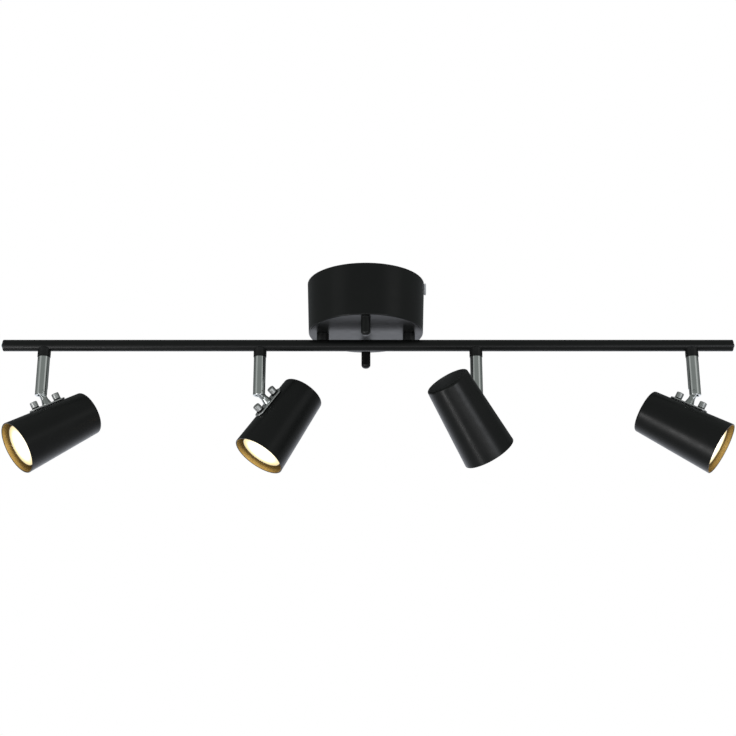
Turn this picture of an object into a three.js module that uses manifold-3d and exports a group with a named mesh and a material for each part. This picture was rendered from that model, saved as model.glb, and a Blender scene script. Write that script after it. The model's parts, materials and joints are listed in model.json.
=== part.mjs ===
// A ceiling spotlight bar: a cup-shaped canopy, a round bar below it and four heads that swivel and tilt.
// Millimetres, +Z up, +X along the bar. The origin is the middle of the face that lies on the ceiling.
import * as THREE from "three";
import { mergeVertices } from "three/addons/utils/BufferGeometryUtils.js";
import Module from "manifold-3d";

const wasm = await Module();
wasm.setup();

// ---- Driving dimensions ----

const GAP = 0.3; // clearance between pieces that touch on the real object
const RUNNING_GAP = 0.4; // clearance round a turning shaft
const OVERCUT = 1; // how far a cutting tool passes the face that it opens

// Bar, hung under the canopy
const BAR_DROP = 75.5; // ceiling to the bar's axis
const BAR_LENGTH = 846; // over the end caps, and 850 over the end screws
const BAR_SHIFT = 2.5; // how far the bar's middle lies to the right of the canopy's
const BAR_RADIUS = 6.75;
const BAR_WALL = 1;
const END_CAP_FLANGE = 2;
const END_CAP_EDGE = 1.4; // rounding of the flange's outer edge
const END_CAP_PLUG = 8;
const END_SCREW_RADIUS = 3.1;
const END_SCREW_HEIGHT = 1.9;
const END_SCREW_SHANK = 1.5;

// Canopy, a cup that narrows slightly towards its floor
const CANOPY_HEIGHT = 61.6;
const CANOPY_RIM_RADIUS = 68.4;
const CANOPY_FLOOR_RADIUS = 66.4;
const CANOPY_WALL = 1.2;
const CANOPY_EDGE = 1.5;

// Ceiling bracket and the two studs that carry the canopy
const BRACKET_LENGTH = 128;
const BRACKET_WIDTH = 22;
const BRACKET_THICKNESS = 2;
const BRACKET_CORNER = 3;
const SLOT_OFFSET = 30; // middle of each ceiling-screw slot
const SLOT_HALF_LENGTH = 7;
const SLOT_HALF_WIDTH = 2.5;
const STUD_OFFSET = 58;
const STUD_RADIUS = 2;
const STUD_HOLE = 2.5;
const STUD_END = 74; // depth below the ceiling
const STUD_NUT_RADIUS = 4.4;
const STUD_NUT_HEIGHT = 3;
const CAP_NUT_RADIUS = 5.5;
const CAP_NUT_LENGTH = 22.4;
const CAP_NUT_DOME = 4.5;
const CAP_NUT_BORE = 14;

// Terminal block and wiring
const TERMINAL_SIZE = [36, 20, 15];
const TERMINAL_WELLS = [-11, 0, 11];
const TERMINAL_WELL_RADIUS = 2.6;
const TERMINAL_WELL_DEPTH = 7;
const WIRE_BUNDLE_RADIUS = 2;
const WIRE_BUNDLE_LENGTH = 760;
const LEAD_RADIUS = 1.6;
const LEAD_BENDS = [[-46, -36], [-36, -15]]; // [x, z] points between the hollow screw and the terminal block
const LEAD_ENTRY = -10; // height where the lead enters the terminal block
const LEAD_STRAIGHT = 6;
const LEAD_STEPS = 14;

// Cable-entry insert in the canopy's rim, on the +X side
const ENTRY_HEIGHT = 12.4;
const ENTRY_WIDTH = 10;
const ENTRY_LIP = 1;
const ENTRY_PROUD = 2.2;
const ENTRY_INNER_FACE = 64.9;

// Spacers between the canopy's floor and the bar, with the hollow screws inside them
const SPACER_OFFSET = 50;
const SPACER_RADIUS = 7.2;
const SPACER_END = 5; // height of its lower end above the bar's axis
const HOLLOW_SHAFT = 4;
const HOLLOW_BORE = 2.6;
const HOLLOW_END = 4.3; // height of the hollow screw's lower end above the bar's axis
const HOLLOW_HEAD_RADIUS = 6.5;
const HOLLOW_HEAD_HEIGHT = 3.5;

// Collars under the bar, each with the hollow stem that its rod turns on. Depths are below the bar's axis.
const HEAD_SPACING = 250;
const COLLAR_RADIUS = 7.5;
const COLLAR_TOP = 4.9;
const COLLAR_BOTTOM = 14.3;
const STEM_TOP = 4.2;
const STEM_BOTTOM = 26;

// Rods and knee joints
const ROD_RADIUS = 7;
const ROD_BOTTOM = 61;
const ROD_CHAMFER = 0.8;
const ROD_BORE_END = 27.5;
const KNEE_DEPTH = 57;
const SLOT_HALF = 3.8; // half the width of the rod's knee slot
const SLOT_REACH = 4.1; // how far the slot goes past the knee pin
const PIN_RADIUS = 1.5;
const PIN_LENGTH = 13.2;
const TONGUE_HALF_WIDTH = 3.5;
const TONGUE_HALF_THICKNESS = 3.4;
const TONGUE_LENGTH = 6;
const TONGUE_OVERLAP = 0.5; // how far the foot's cone reaches up round the tongue
const FOOT_BASE_RADIUS = 5.5;
const FOOT_RIM = 1; // height of the straight rim round the foot's base

// Shades: cones that are open in front. Stations run along the shade's axis, with 0 under the knee.
const SHADE_FRONT = 57.5;
const SHADE_BACK = -40;
const SHADE_FRONT_RADIUS = 31;
const SHADE_BACK_RADIUS = 25.5;
const SHADE_WALL = 1.2;
const SHADE_BACK_EDGE = 2.5;
const AXIS_DROP = 44.9; // knee pin to the shade's axis
const PLATE_LENGTH = 45;
const PLATE_WIDTH = 14;
const PLATE_THICKNESS = 1.5;
const SCREW_SPACING = 28.4;
const SCREW_RADIUS = 4.4;
const SCREW_HEIGHT = 7;
const SCREW_CHAMFER = 0.6;
const WASHER_RADIUS = 4.6;
const WASHER_HEIGHT = 1.3;
const SCREW_SHANK = 1.5;
const SCREW_SHANK_LENGTH = 7.2;

// Lamps (GU10, 50 mm across) and their holders
const LAMP_FRONT = 51.5;
const LAMP_RADIUS = 24.8;
const LAMP_BULGE = 0.9;
const LAMP_RIM = 6; // straight stretch behind the front glass
const LAMP_CURVE = [[21, 33.5], [14, 6.5]]; // [radius, station] points down the reflector to the neck
const LAMP_NECK_RADIUS = 12.5;
const LAMP_NECK = 3.5;
const LAMP_BACK = -2.5;
const LAMP_PIN_RADIUS = 2;
const LAMP_PIN_LENGTH = 7;
const LAMP_PIN_OFFSET = 5;
const HOLDER_RADIUS = 13;
const HOLDER_LENGTH = 20;
const STRAP_WIDTH = 14;
const STRAP_THICKNESS = 1.5;
const STRAP_HALF_LENGTH = 18.5;
const STRAP_WEB_DEPTH = 38.4; // how far below the knee pin the strap reaches into the holder

// The heads from left to right: pan from +X about +Z, tilt of the shade's axis below horizontal, and the turn
// of the shade on its foot, in degrees
const HEADS = [
  { pan: -150, tilt: 33.5, twist: 1 },
  { pan: -139, tilt: 58.5, twist: -10 },
  { pan: 60.5, tilt: 48, twist: -12 },
  { pan: -20, tilt: 32.5, twist: 1.5 },
];

// Sides of round pieces, by size, and steps of the round ends in extruded outlines
const FINE = 36;
const MEDIUM = 20;
const COARSE = 12;
const HEXAGON = 6;
const ROUND_STEPS = 4;

// ---- Derived dimensions ----

const CANOPY_FLOOR_INSIDE = -CANOPY_HEIGHT + CANOPY_WALL;
const BAR_INNER_RADIUS = BAR_RADIUS - BAR_WALL;
const SHAFT_HOLE = HOLLOW_SHAFT + RUNNING_GAP;
const SHADE_TAPER = Math.atan((SHADE_FRONT_RADIUS - SHADE_BACK_RADIUS) / (SHADE_FRONT - SHADE_BACK));
const SHADE_RADIUS_AT_KNEE = SHADE_BACK_RADIUS - SHADE_BACK * Math.tan(SHADE_TAPER);
// Height of the shade's top line in the head's frame, which has the knee pin at its origin
const SHADE_TOP = -(AXIS_DROP - SHADE_RADIUS_AT_KNEE) * Math.cos(SHADE_TAPER);
const PLATE_BOTTOM = SHADE_TOP + GAP;
const PLATE_TOP = PLATE_BOTTOM + PLATE_THICKNESS;

// ---- Geometry helpers ----

const radians = THREE.MathUtils.degToRad;
const point = (x, y) => new THREE.Vector2(x, y);

// A closed geometry as a solid that can be joined and cut.
function solidOf(geometry) {
  const bare = geometry.clone();
  bare.deleteAttribute("normal");
  bare.deleteAttribute("uv");
  const merged = mergeVertices(bare, 1e-4);
  const vertProperties = new Float32Array(merged.attributes.position.array);
  const triVerts = new Uint32Array(merged.index.array);
  return new wasm.Manifold(new wasm.Mesh({ numProp: 3, vertProperties, triVerts }));
}

function geometryOf(solid) {
  const { vertProperties, triVerts } = solid.getMesh();
  const geometry = new THREE.BufferGeometry();
  geometry.setAttribute("position", new THREE.BufferAttribute(vertProperties, 3));
  geometry.setIndex(new THREE.BufferAttribute(triVerts, 1));
  geometry.computeVertexNormals();
  return geometry;
}

const join = (first, ...others) =>
  geometryOf(others.reduce((whole, other) => whole.add(solidOf(other)), solidOf(first)));

const cut = (first, ...tools) =>
  geometryOf(tools.reduce((whole, tool) => whole.subtract(solidOf(tool)), solidOf(first)));

// A solid of revolution about Z. The profile is [radius, height] pairs going down the outside from the top.
function revolve(profile, sides) {
  const points = profile.map(([radius, height]) => point(radius, height)).reverse();
  return new THREE.LatheGeometry(points, sides).rotateX(Math.PI / 2);
}

// A cylinder along Z between two heights.
const cylinder = (radius, bottom, top, sides) =>
  revolve([[0, top], [radius, top], [radius, bottom], [0, bottom]], sides);

// A ring along Z between two heights.
const ring = (outer, inner, bottom, top, sides) =>
  revolve([[inner, top], [outer, top], [outer, bottom], [inner, bottom], [inner, top]], sides);

// A box from its lowest corner to its highest.
function box(low, high) {
  const size = high.map((value, axis) => value - low[axis]);
  const middle = high.map((value, axis) => (value + low[axis]) / 2);
  return new THREE.BoxGeometry(...size).translate(...middle);
}

// [radius, height] points on a quarter round between two directions, in degrees.
function arc(centreRadius, centreHeight, radius, from, to, steps) {
  return Array.from({ length: steps + 1 }, (_, i) => {
    const angle = radians(from + ((to - from) * i) / steps);
    return [centreRadius + radius * Math.cos(angle), centreHeight + radius * Math.sin(angle)];
  });
}

// A flat outline with two straight sides along X and two round ends.
function stadium(length, width) {
  const shape = new THREE.Shape();
  const straight = (length - width) / 2;
  shape.absarc(straight, 0, width / 2, -Math.PI / 2, Math.PI / 2, false);
  shape.absarc(-straight, 0, width / 2, Math.PI / 2, (3 * Math.PI) / 2, false);
  return shape;
}

function roundHole(x, y, radius) {
  const hole = new THREE.Path();
  hole.absarc(x, y, radius, 0, 2 * Math.PI, true);
  return hole;
}

// An outline pulled up along Z, from height 0.
const extrude = (shape, depth) =>
  new THREE.ExtrudeGeometry(shape, { depth, bevelEnabled: false, curveSegments: ROUND_STEPS });

// ---- Ceiling bracket, studs and canopy ----

function bracketGeometry() {
  const halfWidth = BRACKET_WIDTH / 2;
  const halfLength = BRACKET_LENGTH / 2;
  const straight = halfLength - BRACKET_CORNER;
  const inset = halfWidth - BRACKET_CORNER;
  const shape = new THREE.Shape();
  shape.absarc(inset, straight, BRACKET_CORNER, 0, Math.PI / 2, false);
  shape.absarc(-inset, straight, BRACKET_CORNER, Math.PI / 2, Math.PI, false);
  shape.absarc(-inset, -straight, BRACKET_CORNER, Math.PI, 1.5 * Math.PI, false);
  shape.absarc(inset, -straight, BRACKET_CORNER, 1.5 * Math.PI, 2 * Math.PI, false);
  for (const side of [-1, 1]) {
    const slot = new THREE.Path();
    const reach = SLOT_HALF_LENGTH - SLOT_HALF_WIDTH;
    slot.absarc(0, side * SLOT_OFFSET + reach, SLOT_HALF_WIDTH, 0, Math.PI, false);
    slot.absarc(0, side * SLOT_OFFSET - reach, SLOT_HALF_WIDTH, Math.PI, 2 * Math.PI, false);
    shape.holes.push(slot, roundHole(0, side * STUD_OFFSET, STUD_HOLE));
  }
  return extrude(shape, BRACKET_THICKNESS).translate(0, 0, -BRACKET_THICKNESS);
}

function studGeometry() {
  const nutTop = -BRACKET_THICKNESS - GAP;
  return join(
    cylinder(STUD_RADIUS, -STUD_END, -GAP, COARSE),
    cylinder(STUD_NUT_RADIUS, nutTop - STUD_NUT_HEIGHT, nutTop, HEXAGON),
  );
}

function canopyGeometry() {
  const slope = (CANOPY_RIM_RADIUS - CANOPY_FLOOR_RADIUS) / CANOPY_HEIGHT;
  const floorInside = CANOPY_FLOOR_RADIUS - CANOPY_WALL + slope * CANOPY_WALL;
  const cup = revolve(
    [
      [0, CANOPY_FLOOR_INSIDE],
      [floorInside, CANOPY_FLOOR_INSIDE],
      [CANOPY_RIM_RADIUS - CANOPY_WALL, 0],
      [CANOPY_RIM_RADIUS, 0],
      ...arc(CANOPY_FLOOR_RADIUS - CANOPY_EDGE, -CANOPY_HEIGHT + CANOPY_EDGE, CANOPY_EDGE, 0, -90, 2),
      [0, -CANOPY_HEIGHT],
    ],
    FINE,
  );
  const hole = (radius, x, y) =>
    cylinder(radius, -CANOPY_HEIGHT - OVERCUT, CANOPY_FLOOR_INSIDE + OVERCUT, COARSE).translate(x, y, 0);
  const holes = [-1, 1].flatMap((side) => [
    hole(STUD_HOLE, 0, side * STUD_OFFSET),
    hole(SHAFT_HOLE, side * SPACER_OFFSET, 0),
  ]);
  const outside = CANOPY_RIM_RADIUS + OVERCUT;
  const notch = entryOutline(ENTRY_WIDTH, ENTRY_HEIGHT - GAP, ENTRY_INNER_FACE, outside, OVERCUT);
  return cut(cup, ...holes, notch);
}

// The U outline of the cable entry, extruded along X. It is open at the top, at a height above the rim.
function entryOutline(width, depth, from, to, above) {
  const shape = new THREE.Shape();
  const half = width / 2;
  shape.moveTo(half, above);
  shape.lineTo(-half, above);
  shape.absarc(0, half - depth, half, Math.PI, 2 * Math.PI, false);
  return extrude(shape, to - from).rotateX(Math.PI / 2).rotateZ(Math.PI / 2).translate(from, 0, 0);
}

function entryInsertGeometry() {
  const outerFace = CANOPY_RIM_RADIUS + GAP;
  const lipWidth = ENTRY_WIDTH + 2 * ENTRY_LIP;
  const outerLip = entryOutline(lipWidth, ENTRY_HEIGHT, outerFace, CANOPY_RIM_RADIUS + ENTRY_PROUD, -GAP);
  const innerLip = entryOutline(lipWidth, ENTRY_HEIGHT, ENTRY_INNER_FACE, ENTRY_INNER_FACE + ENTRY_LIP, -GAP);
  const web = entryOutline(
    ENTRY_WIDTH - 2 * GAP, ENTRY_HEIGHT - 2 * GAP, ENTRY_INNER_FACE + GAP, outerFace + GAP, -GAP,
  );
  return join(outerLip, web, innerLip);
}

function capNutGeometry() {
  const top = -CANOPY_HEIGHT - GAP;
  const bottom = -CANOPY_HEIGHT - CAP_NUT_LENGTH;
  const bore = STUD_RADIUS + GAP;
  return revolve(
    [
      [0, top - CAP_NUT_BORE],
      [bore, top - CAP_NUT_BORE],
      [bore, top],
      [CAP_NUT_RADIUS, top],
      ...arc(CAP_NUT_RADIUS - CAP_NUT_DOME, bottom + CAP_NUT_DOME, CAP_NUT_DOME, 0, -90, 3),
      [0, bottom],
    ],
    MEDIUM,
  );
}

// ---- Terminal block and wiring ----

function terminalBlockGeometry() {
  const [length, width, height] = TERMINAL_SIZE;
  const top = -BRACKET_THICKNESS - GAP;
  const block = box([-length / 2, -width / 2, top - height], [length / 2, width / 2, top]);
  const well = () => cylinder(TERMINAL_WELL_RADIUS, -OVERCUT, TERMINAL_WELL_DEPTH, COARSE);
  const wells = TERMINAL_WELLS.flatMap((x) => [
    well().translate(x, 0, top - height),
    well().rotateX(Math.PI / 2).translate(x, width / 2, top - height / 2),
  ]);
  return cut(block, ...wells);
}

const barWiringGeometry = () =>
  cylinder(WIRE_BUNDLE_RADIUS, -WIRE_BUNDLE_LENGTH / 2, WIRE_BUNDLE_LENGTH / 2, COARSE)
    .rotateY(Math.PI / 2)
    .translate(BAR_SHIFT, 0, -BAR_DROP);

// The lead that comes up through the left hollow screw and runs to the terminal block.
function feedLeadGeometry() {
  const start = -BAR_DROP + WIRE_BUNDLE_RADIUS + GAP;
  const end = -TERMINAL_SIZE[0] / 2 - 2 * GAP;
  const route = [
    [-SPACER_OFFSET, start],
    [-SPACER_OFFSET, CANOPY_FLOOR_INSIDE + HOLLOW_HEAD_HEIGHT],
    ...LEAD_BENDS,
    [end - LEAD_STRAIGHT, LEAD_ENTRY],
    [end, LEAD_ENTRY],
  ];
  const extrudePath = new THREE.CatmullRomCurve3(route.map(([x, z]) => new THREE.Vector3(x, 0, z)));
  const section = new THREE.Shape().absarc(0, 0, LEAD_RADIUS, 0, 2 * Math.PI, false);
  return new THREE.ExtrudeGeometry(section, { steps: LEAD_STEPS, extrudePath, curveSegments: ROUND_STEPS });
}

// ---- Bar, end caps, spacers and hollow screws ----

function barGeometry() {
  const halfTube = BAR_LENGTH / 2 - END_CAP_FLANGE - GAP;
  const tube = ring(BAR_RADIUS, BAR_INNER_RADIUS, -halfTube, halfTube, MEDIUM)
    .rotateY(Math.PI / 2)
    .translate(BAR_SHIFT, 0, 0);
  const hole = () => cylinder(SHAFT_HOLE, 0, BAR_RADIUS + OVERCUT, COARSE);
  const topHoles = [-1, 1].map((side) => hole().translate(side * SPACER_OFFSET, 0, 0));
  const bottomHoles = headPositions().map((x) => hole().rotateX(Math.PI).translate(x, 0, 0));
  return cut(tube, ...topHoles, ...bottomHoles).translate(0, 0, -BAR_DROP);
}

// Pieces of the bar's +X end, made along +Z and turned to lie along +X or -X.
const atBarEnd = (geometry, side) =>
  geometry.rotateY((side * Math.PI) / 2).translate(BAR_SHIFT, 0, -BAR_DROP);

function endCapGeometry(side) {
  const face = BAR_LENGTH / 2;
  const bore = END_SCREW_SHANK + GAP;
  const plugRadius = BAR_INNER_RADIUS - GAP;
  const flangeBack = face - END_CAP_FLANGE;
  const plugEnd = flangeBack - END_CAP_PLUG;
  const profile = [
    [bore, face],
    ...arc(BAR_RADIUS - END_CAP_EDGE, face - END_CAP_EDGE, END_CAP_EDGE, 90, 0, 2),
    [BAR_RADIUS, flangeBack],
    [plugRadius, flangeBack],
    [plugRadius, plugEnd],
    [bore, plugEnd],
    [bore, face],
  ];
  return atBarEnd(revolve(profile, MEDIUM), side);
}

function endScrewGeometry(side) {
  const seat = BAR_LENGTH / 2 + GAP;
  const shankEnd = seat - END_CAP_FLANGE - END_CAP_PLUG;
  const dome = arc(0, 0, 1, 90, 0, 3).map(([along, out]) => [
    END_SCREW_RADIUS * along,
    seat + END_SCREW_HEIGHT * out,
  ]);
  const profile = [
    [0, seat + END_SCREW_HEIGHT],
    ...dome.slice(1),
    [END_SCREW_SHANK, seat],
    [END_SCREW_SHANK, shankEnd],
    [0, shankEnd],
  ];
  return atBarEnd(revolve(profile, COARSE), side);
}

// The bar's own cylinder with clearance, which the spacers and collars are notched by.
const barNotch = () =>
  cylinder(BAR_RADIUS + GAP, -2 * SPACER_RADIUS, 2 * SPACER_RADIUS, MEDIUM).rotateY(Math.PI / 2);

function spacerGeometry(side) {
  const top = BAR_DROP - CANOPY_HEIGHT - GAP;
  const body = ring(SPACER_RADIUS, SHAFT_HOLE, SPACER_END, top, MEDIUM);
  return cut(body, barNotch()).translate(side * SPACER_OFFSET, 0, -BAR_DROP);
}

function hollowScrewGeometry(side) {
  const seat = CANOPY_FLOOR_INSIDE + GAP;
  const screw = join(
    cylinder(HOLLOW_SHAFT, -BAR_DROP + HOLLOW_END, seat + OVERCUT, COARSE),
    cylinder(HOLLOW_HEAD_RADIUS, seat, seat + HOLLOW_HEAD_HEIGHT, HEXAGON),
  );
  const bore = cylinder(HOLLOW_BORE, -BAR_DROP, 0, COARSE);
  return cut(screw, bore).translate(side * SPACER_OFFSET, 0, 0);
}

// ---- Heads ----

const headPositions = () =>
  HEADS.map((_, i) => BAR_SHIFT + (i - (HEADS.length - 1) / 2) * HEAD_SPACING);

// The collar and its stem, with the bar's axis at height 0.
function collarGeometry() {
  const sleeve = cut(ring(COLLAR_RADIUS, HOLLOW_BORE, -COLLAR_BOTTOM, -COLLAR_TOP, MEDIUM), barNotch());
  const stem = ring(HOLLOW_SHAFT, HOLLOW_BORE, -STEM_BOTTOM, -STEM_TOP, COARSE);
  return join(sleeve, stem);
}

// The rod hangs below the collar. Its lower end is slotted for the knee, open downwards and towards -X.
function rodGeometry() {
  const top = -COLLAR_BOTTOM - GAP;
  const body = revolve(
    [
      [0, top],
      [ROD_RADIUS, top],
      [ROD_RADIUS, -ROD_BOTTOM + ROD_CHAMFER],
      [ROD_RADIUS - ROD_CHAMFER, -ROD_BOTTOM],
      [0, -ROD_BOTTOM],
    ],
    MEDIUM,
  );
  const slotTop = -KNEE_DEPTH + SLOT_REACH;
  const outside = ROD_RADIUS + OVERCUT;
  const slot = box([-outside, -SLOT_HALF, -ROD_BOTTOM - OVERCUT], [SLOT_REACH, SLOT_HALF, slotTop]);
  const stemBore = cylinder(SHAFT_HOLE, -ROD_BORE_END, top + OVERCUT, COARSE);
  const wireBore = cylinder(HOLLOW_BORE, slotTop - OVERCUT, -ROD_BORE_END + OVERCUT, COARSE);
  const pinBore = cylinder(PIN_RADIUS + GAP, -outside, outside, COARSE)
    .rotateX(Math.PI / 2)
    .translate(0, 0, -KNEE_DEPTH);
  return cut(body, slot, stemBore, wireBore, pinBore);
}

const kneePinGeometry = () =>
  cylinder(PIN_RADIUS, -PIN_LENGTH / 2, PIN_LENGTH / 2, COARSE)
    .rotateX(Math.PI / 2)
    .translate(0, 0, -KNEE_DEPTH);

// The foot, with the knee pin at its origin: a tongue for the rod's slot that widens into a round base.
function kneeFootGeometry() {
  const outline = new THREE.Shape();
  outline.absarc(0, 0, TONGUE_HALF_WIDTH, 0, Math.PI, false);
  outline.lineTo(-TONGUE_HALF_WIDTH, -TONGUE_LENGTH);
  outline.lineTo(TONGUE_HALF_WIDTH, -TONGUE_LENGTH);
  outline.holes.push(roundHole(0, 0, PIN_RADIUS + GAP));
  const tongue = extrude(outline, 2 * TONGUE_HALF_THICKNESS)
    .translate(0, 0, -TONGUE_HALF_THICKNESS)
    .rotateX(Math.PI / 2);
  const base = PLATE_TOP + GAP;
  const coneTop = TONGUE_OVERLAP - TONGUE_LENGTH;
  const cone = revolve(
    [
      [0, coneTop],
      [TONGUE_HALF_WIDTH, coneTop],
      [FOOT_BASE_RADIUS, base + FOOT_RIM],
      [FOOT_BASE_RADIUS, base],
      [0, base],
    ],
    MEDIUM,
  );
  return join(tongue, cone);
}

function mountingPlateGeometry() {
  const shape = stadium(PLATE_LENGTH, PLATE_WIDTH);
  shape.holes.push(roundHole(0, 0, HOLLOW_BORE));
  for (const side of [-1, 1]) {
    shape.holes.push(roundHole((side * SCREW_SPACING) / 2, 0, SCREW_SHANK + RUNNING_GAP));
  }
  return extrude(shape, PLATE_THICKNESS).translate(0, 0, PLATE_BOTTOM);
}

// The knurled thumb screw with its washer.
function thumbScrewGeometry(side) {
  const washerBottom = PLATE_TOP + GAP;
  const headBottom = washerBottom + WASHER_HEIGHT;
  const headTop = headBottom + SCREW_HEIGHT;
  const shankBottom = washerBottom - SCREW_SHANK_LENGTH;
  const profile = [
    [0, headTop],
    [SCREW_RADIUS - SCREW_CHAMFER, headTop],
    [SCREW_RADIUS, headTop - SCREW_CHAMFER],
    [SCREW_RADIUS, headBottom],
    [WASHER_RADIUS, headBottom],
    [WASHER_RADIUS, washerBottom],
    [SCREW_SHANK, washerBottom],
    [SCREW_SHANK, shankBottom],
    [0, shankBottom],
  ];
  return revolve(profile, COARSE).translate((side * SCREW_SPACING) / 2, 0, 0);
}

// Places a geometry made about +Z, with its station as its height, on the shade's axis in the head's frame.
function onShadeAxis(geometry) {
  return geometry
    .rotateY(Math.PI / 2 + SHADE_TAPER)
    .translate(-AXIS_DROP * Math.sin(SHADE_TAPER), 0, -AXIS_DROP * Math.cos(SHADE_TAPER));
}

function shadeGeometry() {
  const innerFront = SHADE_FRONT_RADIUS - SHADE_WALL;
  const innerBack = SHADE_BACK_RADIUS - SHADE_WALL;
  const edgeHeight = SHADE_BACK + SHADE_BACK_EDGE;
  const shell = revolve(
    [
      [0, SHADE_BACK + SHADE_WALL],
      [innerBack - SHADE_WALL, SHADE_BACK + SHADE_WALL],
      [innerBack, SHADE_BACK + 2 * SHADE_WALL],
      [innerFront, SHADE_FRONT],
      [SHADE_FRONT_RADIUS, SHADE_FRONT],
      ...arc(SHADE_BACK_RADIUS - SHADE_BACK_EDGE, edgeHeight, SHADE_BACK_EDGE, 0, -90, 2),
      [0, SHADE_BACK],
    ],
    FINE,
  );
  const holeAt = (x, radius) =>
    cylinder(radius, SHADE_TOP - 2 * SHADE_WALL, SHADE_TOP + OVERCUT, COARSE).translate(x, 0, 0);
  return cut(
    onShadeAxis(shell),
    holeAt(0, HOLLOW_BORE),
    holeAt(-SCREW_SPACING / 2, SCREW_SHANK + RUNNING_GAP),
    holeAt(SCREW_SPACING / 2, SCREW_SHANK + RUNNING_GAP),
  );
}

function lampGeometry() {
  const frontGlass = [0, 0.5, 1].map((part) => [
    LAMP_RADIUS * part,
    LAMP_FRONT + LAMP_BULGE * (1 - part ** 2),
  ]);
  const body = revolve(
    [
      ...frontGlass,
      [LAMP_RADIUS, LAMP_FRONT - LAMP_RIM],
      ...LAMP_CURVE,
      [LAMP_NECK_RADIUS, LAMP_NECK],
      [LAMP_NECK_RADIUS, LAMP_BACK],
      [0, LAMP_BACK],
    ],
    MEDIUM,
  );
  const pins = [-1, 1].map((side) =>
    cylinder(LAMP_PIN_RADIUS, LAMP_BACK - LAMP_PIN_LENGTH, LAMP_BACK + OVERCUT, COARSE)
      .translate(0, side * LAMP_PIN_OFFSET, 0),
  );
  return onShadeAxis(join(body, ...pins));
}

// The ceramic holder with the strap that the thumb screws clamp against the shade's wall.
function lampHolderGeometry() {
  const front = LAMP_BACK - GAP;
  const back = front - HOLDER_LENGTH;
  const sockets = [-1, 1].map((side) =>
    cylinder(LAMP_PIN_RADIUS + GAP, front - LAMP_PIN_LENGTH - GAP, front + OVERCUT, COARSE)
      .translate(0, side * LAMP_PIN_OFFSET, 0),
  );
  const ceramic = onShadeAxis(cut(cylinder(HOLDER_RADIUS, back, front, MEDIUM), ...sockets));
  const half = STRAP_WIDTH / 2;
  const innerRadius = SHADE_RADIUS_AT_KNEE - SHADE_WALL;
  const edgeDrop = innerRadius - Math.sqrt(innerRadius ** 2 - half ** 2);
  const strapTop = SHADE_TOP - SHADE_WALL - edgeDrop - GAP;
  const strapBottom = strapTop - STRAP_THICKNESS;
  const strap = box([-STRAP_HALF_LENGTH, -half, strapBottom], [STRAP_HALF_LENGTH, half, strapTop]);
  const webFace = -STRAP_HALF_LENGTH + STRAP_THICKNESS;
  const web = box([-STRAP_HALF_LENGTH, -half, -STRAP_WEB_DEPTH], [webFace, half, strapTop]);
  const holes = [-1, 1].map((side) =>
    cylinder(SCREW_SHANK + RUNNING_GAP, strapBottom - OVERCUT, strapTop + OVERCUT, COARSE)
      .translate((side * SCREW_SPACING) / 2, 0, 0),
  );
  return join(ceramic, cut(join(strap, web), ...holes));
}

// ---- Materials ----

const finish = (color, roughness, metalness) =>
  new THREE.MeshStandardMaterial({ color, roughness, metalness });
const blackPaint = () => finish(0x1a1b1c, 0.45, 0);
const blackPlastic = () => finish(0x141516, 0.5, 0);
const chrome = () => finish(0xc8cccb, 0.12, 1);
const zincSteel = () => finish(0xa5a8aa, 0.4, 1);
const greyPlastic = () => finish(0xb4b8bc, 0.4, 0);
const whitePlastic = () => finish(0xece9e0, 0.5, 0);
const wireSheath = () => finish(0x6f7378, 0.6, 0);
const ceramicWhite = () => finish(0xe4ded0, 0.6, 0);
const lampGlass = () => {
  const glass = finish(0xfff1cf, 0.25, 0);
  glass.emissive = new THREE.Color(0xffd98a);
  return glass;
};

// ---- Assembly ----

const light = new THREE.Group();

function place(parent, name, geometry, material) {
  const mesh = new THREE.Mesh(geometry, material);
  mesh.name = name;
  parent.add(mesh);
}

function addCanopy(parent) {
  place(parent, "ceiling_bracket", bracketGeometry(), zincSteel());
  place(parent, "canopy", canopyGeometry(), blackPaint());
  place(parent, "cable_entry_insert", entryInsertGeometry(), greyPlastic());
  place(parent, "terminal_block", terminalBlockGeometry(), whitePlastic());
  for (const [name, side] of [["front", -1], ["rear", 1]]) {
    place(parent, `bracket_stud_${name}`, studGeometry().translate(0, side * STUD_OFFSET, 0), zincSteel());
    place(parent, `cap_nut_${name}`, capNutGeometry().translate(0, side * STUD_OFFSET, 0), blackPaint());
  }
}

function addBar(parent) {
  place(parent, "bar", barGeometry(), blackPaint());
  place(parent, "bar_wiring", barWiringGeometry(), wireSheath());
  place(parent, "feed_lead", feedLeadGeometry(), wireSheath());
  for (const [name, side] of [["left", -1], ["right", 1]]) {
    place(parent, `spacer_${name}`, spacerGeometry(side), blackPaint());
    place(parent, `hollow_screw_${name}`, hollowScrewGeometry(side), zincSteel());
    place(parent, `end_cap_${name}`, endCapGeometry(side), blackPlastic());
    place(parent, `end_screw_${name}`, endScrewGeometry(side), chrome());
  }
}

const collar = collarGeometry();
const rod = rodGeometry();
const kneePin = kneePinGeometry();
const kneeFoot = kneeFootGeometry();
const mountingPlate = mountingPlateGeometry();
const frontScrew = thumbScrewGeometry(1);
const rearScrew = thumbScrewGeometry(-1);
const shade = shadeGeometry();
const lampHolder = lampHolderGeometry();
const lamp = lampGeometry();

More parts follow.
